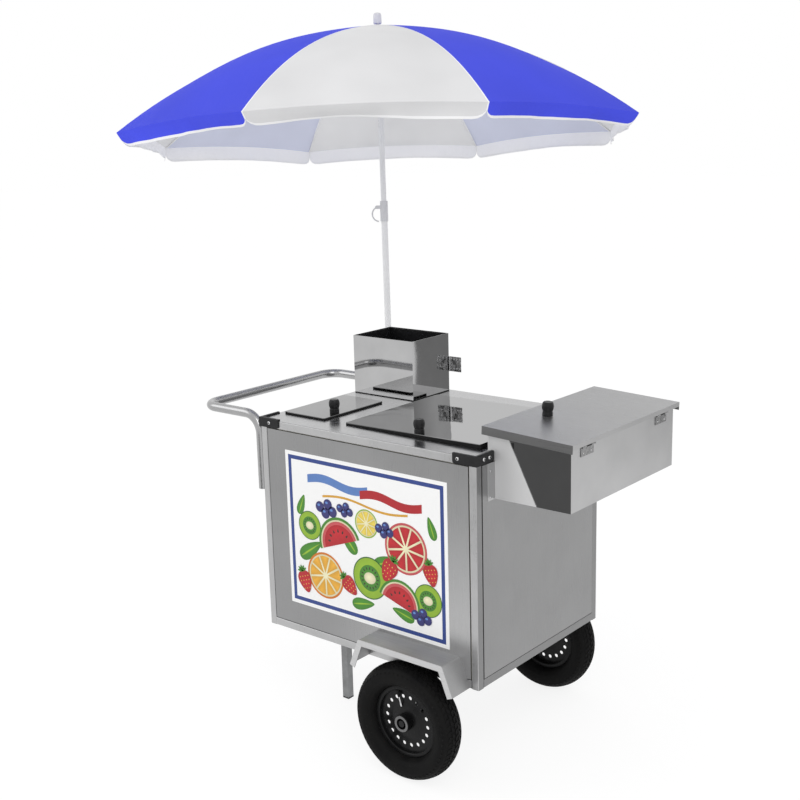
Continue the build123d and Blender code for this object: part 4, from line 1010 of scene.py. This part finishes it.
def inkFinish(name, color):
    material, tree, shader = startMaterial(name + "Ink", color, inkLook["rough"])
    dots = noiseOn(tree, inkLook["dots"], detail=1.0)
    clouds = noiseOn(tree, inkLook["clouds"], detail=3.0)
    tone = addNode(tree, "ShaderNodeAttribute", attribute_name="tone")
    mottle = spread(tree, combine(tree, dots, clouds), 0, inkLook["mottle"], *inkLook["mottleSpan"])
    share = combine(tree, mottle, spread(tree, tone.outputs["Fac"], *inkLook["swell"], 0, 1))
    dark = shade(color, inkLook["paperShade" if name == "paper" else "inkShade"])
    wire(tree, (blend(tree, share, dark, shade(color, inkLook["light"])), shader.inputs["Base Color"]))
    addRelief(tree, shader, dots, inkLook["relief"], inkLook["depth"])
    return material


inkNames = list(inkColors)
inks = [inkFinish(name, color) for name, color in inkColors.items()]

# Layout in millimetres from the sheet's lower left corner; each row ends with the layer it starts on
posterArt = {
    "line": 12.5, "inset": 12, "layer": 0.0001, "film": 0.8, "peak": 0.3, "peakTurn": 0.375,
    "ribbons": [(90, 330, 418, 26, "sky", 1), (300, 532, 402, 26, "red", 2), (150, 480, 372, 7, "amber", 3)],
    "leaves": [(92, 190, 110, 0.6, 1), (248, 250, 96, 2.3, 1), (392, 212, 100, 0.4, 1),
               (545, 235, 96, 2.0, 1), (300, 62, 90, 0.2, 1), (455, 66, 84, 2.9, 1), (60, 330, 70, 1.2, 1),
               (565, 350, 70, 1.9, 1)],
    "citrus": [(150, 118, 74, "orange", "amber", 4), (470, 270, 78, "pink", "red", 4),
               (322, 318, 44, "lime", "yellow", 4)],
    "kiwis": [(330, 150, 66, 6), (548, 130, 50, 6), (92, 268, 46, 6)],
    "melons": [(214, 232, 84, 0.35, 8), (440, 92, 78, -0.3, 8)],
    "strawberries": [(64, 80, 58, 0.35, 12), (404, 190, 62, -0.5, 14), (250, 108, 54, 0.8, 14),
                     (562, 210, 54, 0.25, 14)],
    "berries": [(160, 320, 17, 10), (520, 62, 15, 14), (236, 334, 13, 12), (388, 300, 14, 10)],
}
artShapes = []                                  # (outline in millimetres, ink, layer, whether it swells)


def layShape(outline, ink, layer, swells=True):
    artShapes.append((outline, inkNames.index(ink), layer, swells))


# Shares of a fruit's own radius, size or length
fruit = {
    "disc": {"steps": 36},
    "leaf": {"steps": 24, "taper": 0.45, "width": 0.4, "vein": (0.86, 0.05)},
    "citrus": {"pith": 0.91, "flesh": 0.84, "core": 0.12, "segments": 9, "firstTurn": 0.2, "fill": 0.43,
               "steps": 4},
    "kiwi": {"flesh": 0.95, "inner": 0.62, "core": 0.34, "squeeze": 0.8, "seeds": 16, "seedRing": 0.47,
             "seed": (0.14, 0.06)},
    "strawberry": {"half": 0.62, "broad": 0.72, "taper": 0.28, "steps": 40, "seedRows": 4, "seedGap": 0.2,
                   "seedTop": 0.3, "rowGap": 0.22, "seed": (0.07, 0.045), "stalk": 0.6, "sepals": 5,
                   "sepalTurn": 0.62, "sepalOut": 0.16, "sepal": (0.36, 0.15)},
    "melon": {"rings": [("green", 1.0), ("cream", 0.9), ("pink", 0.84), ("red", 0.72)], "steps": 20,
              "seeds": 6, "seedRing": 0.5, "seed": (0.13, 0.07)},
    "berries": {"spots": [(0, 0), (1.7, 0.5), (0.6, 1.7), (-1.3, 1.0)], "gleamAside": 0.25, "gleamUp": 0.3,
                "gleam": 0.34, "squeeze": 0.7},
    "ribbon": {"steps": 30, "wave": 9},
}


def layDisc(x, y, radius, ink, layer, squeeze=1.0):
    turns = circle(fruit["disc"]["steps"])
    layShape([(x + radius * cos(a), y + radius * squeeze * sin(a)) for a in turns], ink, layer)


def layLeaf(spot, length, width, turn, ink, layer):
    look = fruit["leaf"]
    outline = []
    for a in circle(look["steps"]):
        aside = width * sin(a) * (1 - look["taper"] * cos(a)) / 2
        outline.append(swung(*spot, length * cos(a) / 2, aside, turn))
    layShape(outline, ink, layer)


def greenLeaf(x, y, length, turn, layer):
    look = fruit["leaf"]
    veinLength, veinWidth = look["vein"]
    layLeaf((x, y), length, length * look["width"], turn, "green", layer)
    layLeaf((x, y), length * veinLength, length * veinWidth, turn, "lime", layer + 1)


def citrus(x, y, radius, rind, flesh, layer):
    look = fruit["citrus"]
    layDisc(x, y, radius, rind, layer)
    layDisc(x, y, radius * look["pith"], "cream", layer + 1)
    half = 2 * pi / look["segments"] * look["fill"]
    for a in circle(look["segments"]):
        a += look["firstTurn"]
        outline = [polar(x, y, radius * look["core"], a)]
        for step in range(-look["steps"], look["steps"] + 1):
            outline.append(polar(x, y, radius * look["flesh"], a + half * step / look["steps"]))
        layShape(outline, flesh, layer + 2)


def kiwi(x, y, radius, layer):
    look = fruit["kiwi"]
    long, wide = look["seed"]
    layDisc(x, y, radius, "leaf", layer)
    layDisc(x, y, radius * look["flesh"], "lime", layer + 1)
    layDisc(x, y, radius * look["inner"], "green", layer + 2)
    layDisc(x, y, radius * look["core"], "cream", layer + 3, look["squeeze"])
    for a in circle(look["seeds"]):
        layLeaf(polar(x, y, radius * look["seedRing"], a), radius * long, radius * wide, a, "seed", layer + 4)


def strawberry(x, y, size, turn, layer):
    look = fruit["strawberry"]
    half = size * look["half"]
    outline = []
    for a in circle(look["steps"]):
        broad = look["broad"] + look["taper"] * cos(a)
        outline.append(swung(x, y, half * sin(a) * broad, half * cos(a), turn))
    layShape(outline, "red", layer)
    long, wide = look["seed"]
    for row in range(look["seedRows"]):
        count = look["seedRows"] - row // 2
        for index in range(count):
            u = size * look["seedGap"] * (index - (count - 1) / 2)
            v = size * (look["seedTop"] - look["rowGap"] * row)
            layLeaf(swung(x, y, u, v, turn), size * long, size * wide, turn + pi / 2, "yellow", layer + 1)
    stalk = swung(x, y, 0, size * look["stalk"], turn)
    long, wide = look["sepal"]
    for index in range(look["sepals"]):
        a = turn + pi / 2 + (index - look["sepals"] // 2) * look["sepalTurn"]
        layLeaf(polar(*stalk, size * look["sepalOut"], a), size * long, size * wide, a, "green", layer + 2)


def melon(x, y, radius, turn, layer):
    look = fruit["melon"]
    long, wide = look["seed"]
    turns = [turn + pi * step / look["steps"] for step in range(look["steps"] + 1)]
    for ink, share in look["rings"]:
        layShape([polar(x, y, radius * share, a) for a in turns], ink, layer)
        layer += 1
    for index in range(look["seeds"]):
        a = turn + pi * (index + 1) / (look["seeds"] + 1)
        layLeaf(polar(x, y, radius * look["seedRing"], a), radius * long, radius * wide, a, "seed", layer)


def berries(x, y, radius, layer):
    look = fruit["berries"]
    for dx, dy in look["spots"]:
        u, v = x + dx * radius, y + dy * radius
        layDisc(u, v, radius, "berry", layer)
        u, v = u - radius * look["gleamAside"], v + radius * look["gleamUp"]
        layDisc(u, v, radius * look["gleam"], "sky", layer + 1, look["squeeze"])


def ribbon(start, end, y, thick, ink, layer):
    steps, wave = fruit["ribbon"]["steps"], fruit["ribbon"]["wave"]
    upper = []
    for step in range(steps + 1):
        level = y + wave * sin(step / steps * 2 * pi)
        upper.append((start + (end - start) * step / steps, level + thick / 2))
    lower = [(u, v - thick) for u, v in reversed(upper)]
    layShape(upper + lower, ink, layer, False)


def borderLines():
    wide, tall = (posterHigh.x - posterLow.x) * 1000, (posterHigh.z - posterLow.z) * 1000
    near, far = posterArt["inset"], posterArt["inset"] + posterArt["line"]
    for low, high in (((near, near), (wide - near, far)), ((near, tall - far), (wide - near, tall - near)),
                      ((near, far), (far, tall - far)), ((wide - far, far), (wide - near, tall - far))):
        layShape([low, (high[0], low[1]), high, (low[0], high[1])], "border", 1, False)


# Each printed shape is a thin film; one that swells has a peak inside it, where its ink is lightest
def drawPoster():
    borderLines()
    for kind, draw in (("ribbons", ribbon), ("leaves", greenLeaf), ("citrus", citrus), ("kiwis", kiwi),
                       ("melons", melon), ("strawberries", strawberry), ("berries", berries)):
        for row in posterArt[kind]:
            draw(*row)
    shape = bmesh.new()
    tone = shape.verts.layers.float.new("tone")
    for outline, ink, layer, swells in artShapes:
        depth = posterLow.y - posterArt["layer"] * layer
        rings = []
        for y in (depth, depth + posterArt["layer"] * posterArt["film"]):
            spots = [(posterLow.x + u / 1000, y, posterLow.z + v / 1000) for u, v in outline]
            rings.append([shape.verts.new(spot) for spot in spots])
        made = [shape.faces.new(list(reversed(rings[1])))]
        if swells:
            middle = sum((corner.co for corner in rings[0]), Vector()) / len(outline)
            towards = rings[0][int(len(outline) * posterArt["peakTurn"])].co
            peak = shape.verts.new(middle.lerp(towards, posterArt["peak"]))
            peak[tone] = 1.0
        else:
            made.append(shape.faces.new(rings[0]))
        for index in range(len(outline)):
            after = (index + 1) % len(outline)
            made.append(shape.faces.new((rings[0][index], rings[1][index], rings[1][after], rings[0][after])))
            if swells:
                made.append(shape.faces.new((rings[0][index], rings[0][after], peak)))
        for face in made:
            face.material_index = ink
    bmesh.ops.recalc_face_normals(shape, faces=shape.faces)
    mesh = bpy.data.meshes.new("print")
    shape.to_mesh(mesh)
    shape.free()
    addPiece("posterPrint", mesh, inks, "cart")
    for slot in nodes["poster"].material_slots:
        slot.material = inks[0]
    print("poster with", len(artShapes), "printed shapes")


drawPoster()


# Studio: pale floor, soft lamps, white surroundings, and two dark cards that only the metal mirrors
studio = {"ambient": 0.76, "floorGlow": 0.85, "floorShade": 0.2, "bounce": 0.92, "floorSize": 30,
          "aim": (0.2, -0.3, 1.0),
          "lamps": [("keyLamp", (3.4, -3.6, 4.6), 3.0, 65), ("fillLamp", (-3.6, -3.4, 3.6), 3.0, 35)],
          "cards": [("floorCard", 0.14, [(-2.05, -4.31, 0.004), (-0.6, -2.68, 0.004), (0.6, -2.68, 0.004),
                                         (0.6, -4.31, 0.004)]),
                    ("sideCard", 0.27, [(1.85, 2.5, 0.1), (2.45, 2.5, 0.1), (2.45, 2.5, 0.75),
                                        (1.85, 2.5, 0.75)])]}


# What the camera and the mirroring metal see, as against what only lights the object
def seenRays(tree):
    path = addNode(tree, "ShaderNodeLightPath")
    seen = combine(tree, path.outputs["Is Camera Ray"], path.outputs["Is Glossy Ray"])
    return combine(tree, seen, path.outputs["Is Transmission Ray"], clamp=True)


def bareMaterial(name):
    material = bpy.data.materials.new(name)
    material.use_nodes = True
    tree = material.node_tree
    tree.nodes.remove(tree.nodes["Principled BSDF"])
    return material, tree, tree.nodes["Material Output"].inputs["Surface"]


def addStage(name, corners, material):
    mesh = bpy.data.meshes.new(name)
    mesh.from_pydata(corners, [], [range(len(corners))])
    mesh.materials.append(material)
    piece = addObject(name, mesh)
    return piece


def floorMaterial():
    material, tree, surface = bareMaterial("paleFloor")
    glow = addNode(tree, "ShaderNodeEmission", {"Strength": studio["floorGlow"]})
    lit, plain = (addNode(tree, "ShaderNodeBsdfDiffuse", {"Color": (studio[key],) * 3 + (1,)})
                  for key in ("floorShade", "bounce"))
    both, pick = addNode(tree, "ShaderNodeAddShader"), addNode(tree, "ShaderNodeMixShader")
    wire(tree, (glow.outputs[0], both.inputs[0]), (lit.outputs[0], both.inputs[1]),
         (seenRays(tree), pick.inputs[0]), (plain.outputs[0], pick.inputs[1]),
         (both.outputs[0], pick.inputs[2]), (pick.outputs[0], surface))
    return material


def addStudio():
    scene.world = bpy.data.worlds.new("studio")
    scene.world.use_nodes = True
    tree = scene.world.node_tree
    background = tree.nodes["Background"]
    background.inputs["Color"].default_value = (1, 1, 1, 1)
    wire(tree, (spread(tree, seenRays(tree), studio["ambient"], 1.0, 0, 1), background.inputs["Strength"]))
    size = studio["floorSize"]
    corners = [(-size, -size, 0), (size, -size, 0), (size, size, 0), (-size, size, 0)]
    addStage("floor", corners, floorMaterial())
    for name, tone, corners in studio["cards"]:
        material, tree, surface = bareMaterial(name)
        glow = addNode(tree, "ShaderNodeEmission", {"Strength": tone})
        wire(tree, (glow.outputs[0], surface))
        card = addStage(name, corners, material)
        card.visible_camera = card.visible_diffuse = card.visible_shadow = False
    for name, spot, size, power in studio["lamps"]:
        data = bpy.data.lights.new(name, "AREA")
        data.size, data.energy = size, power
        lamp = addObject(name, data)
        lamp.location = spot
        lamp.rotation_euler = (Vector(studio["aim"]) - Vector(spot)).to_track_quat("-Z", "Y").to_euler()
    print("studio set")


addStudio()
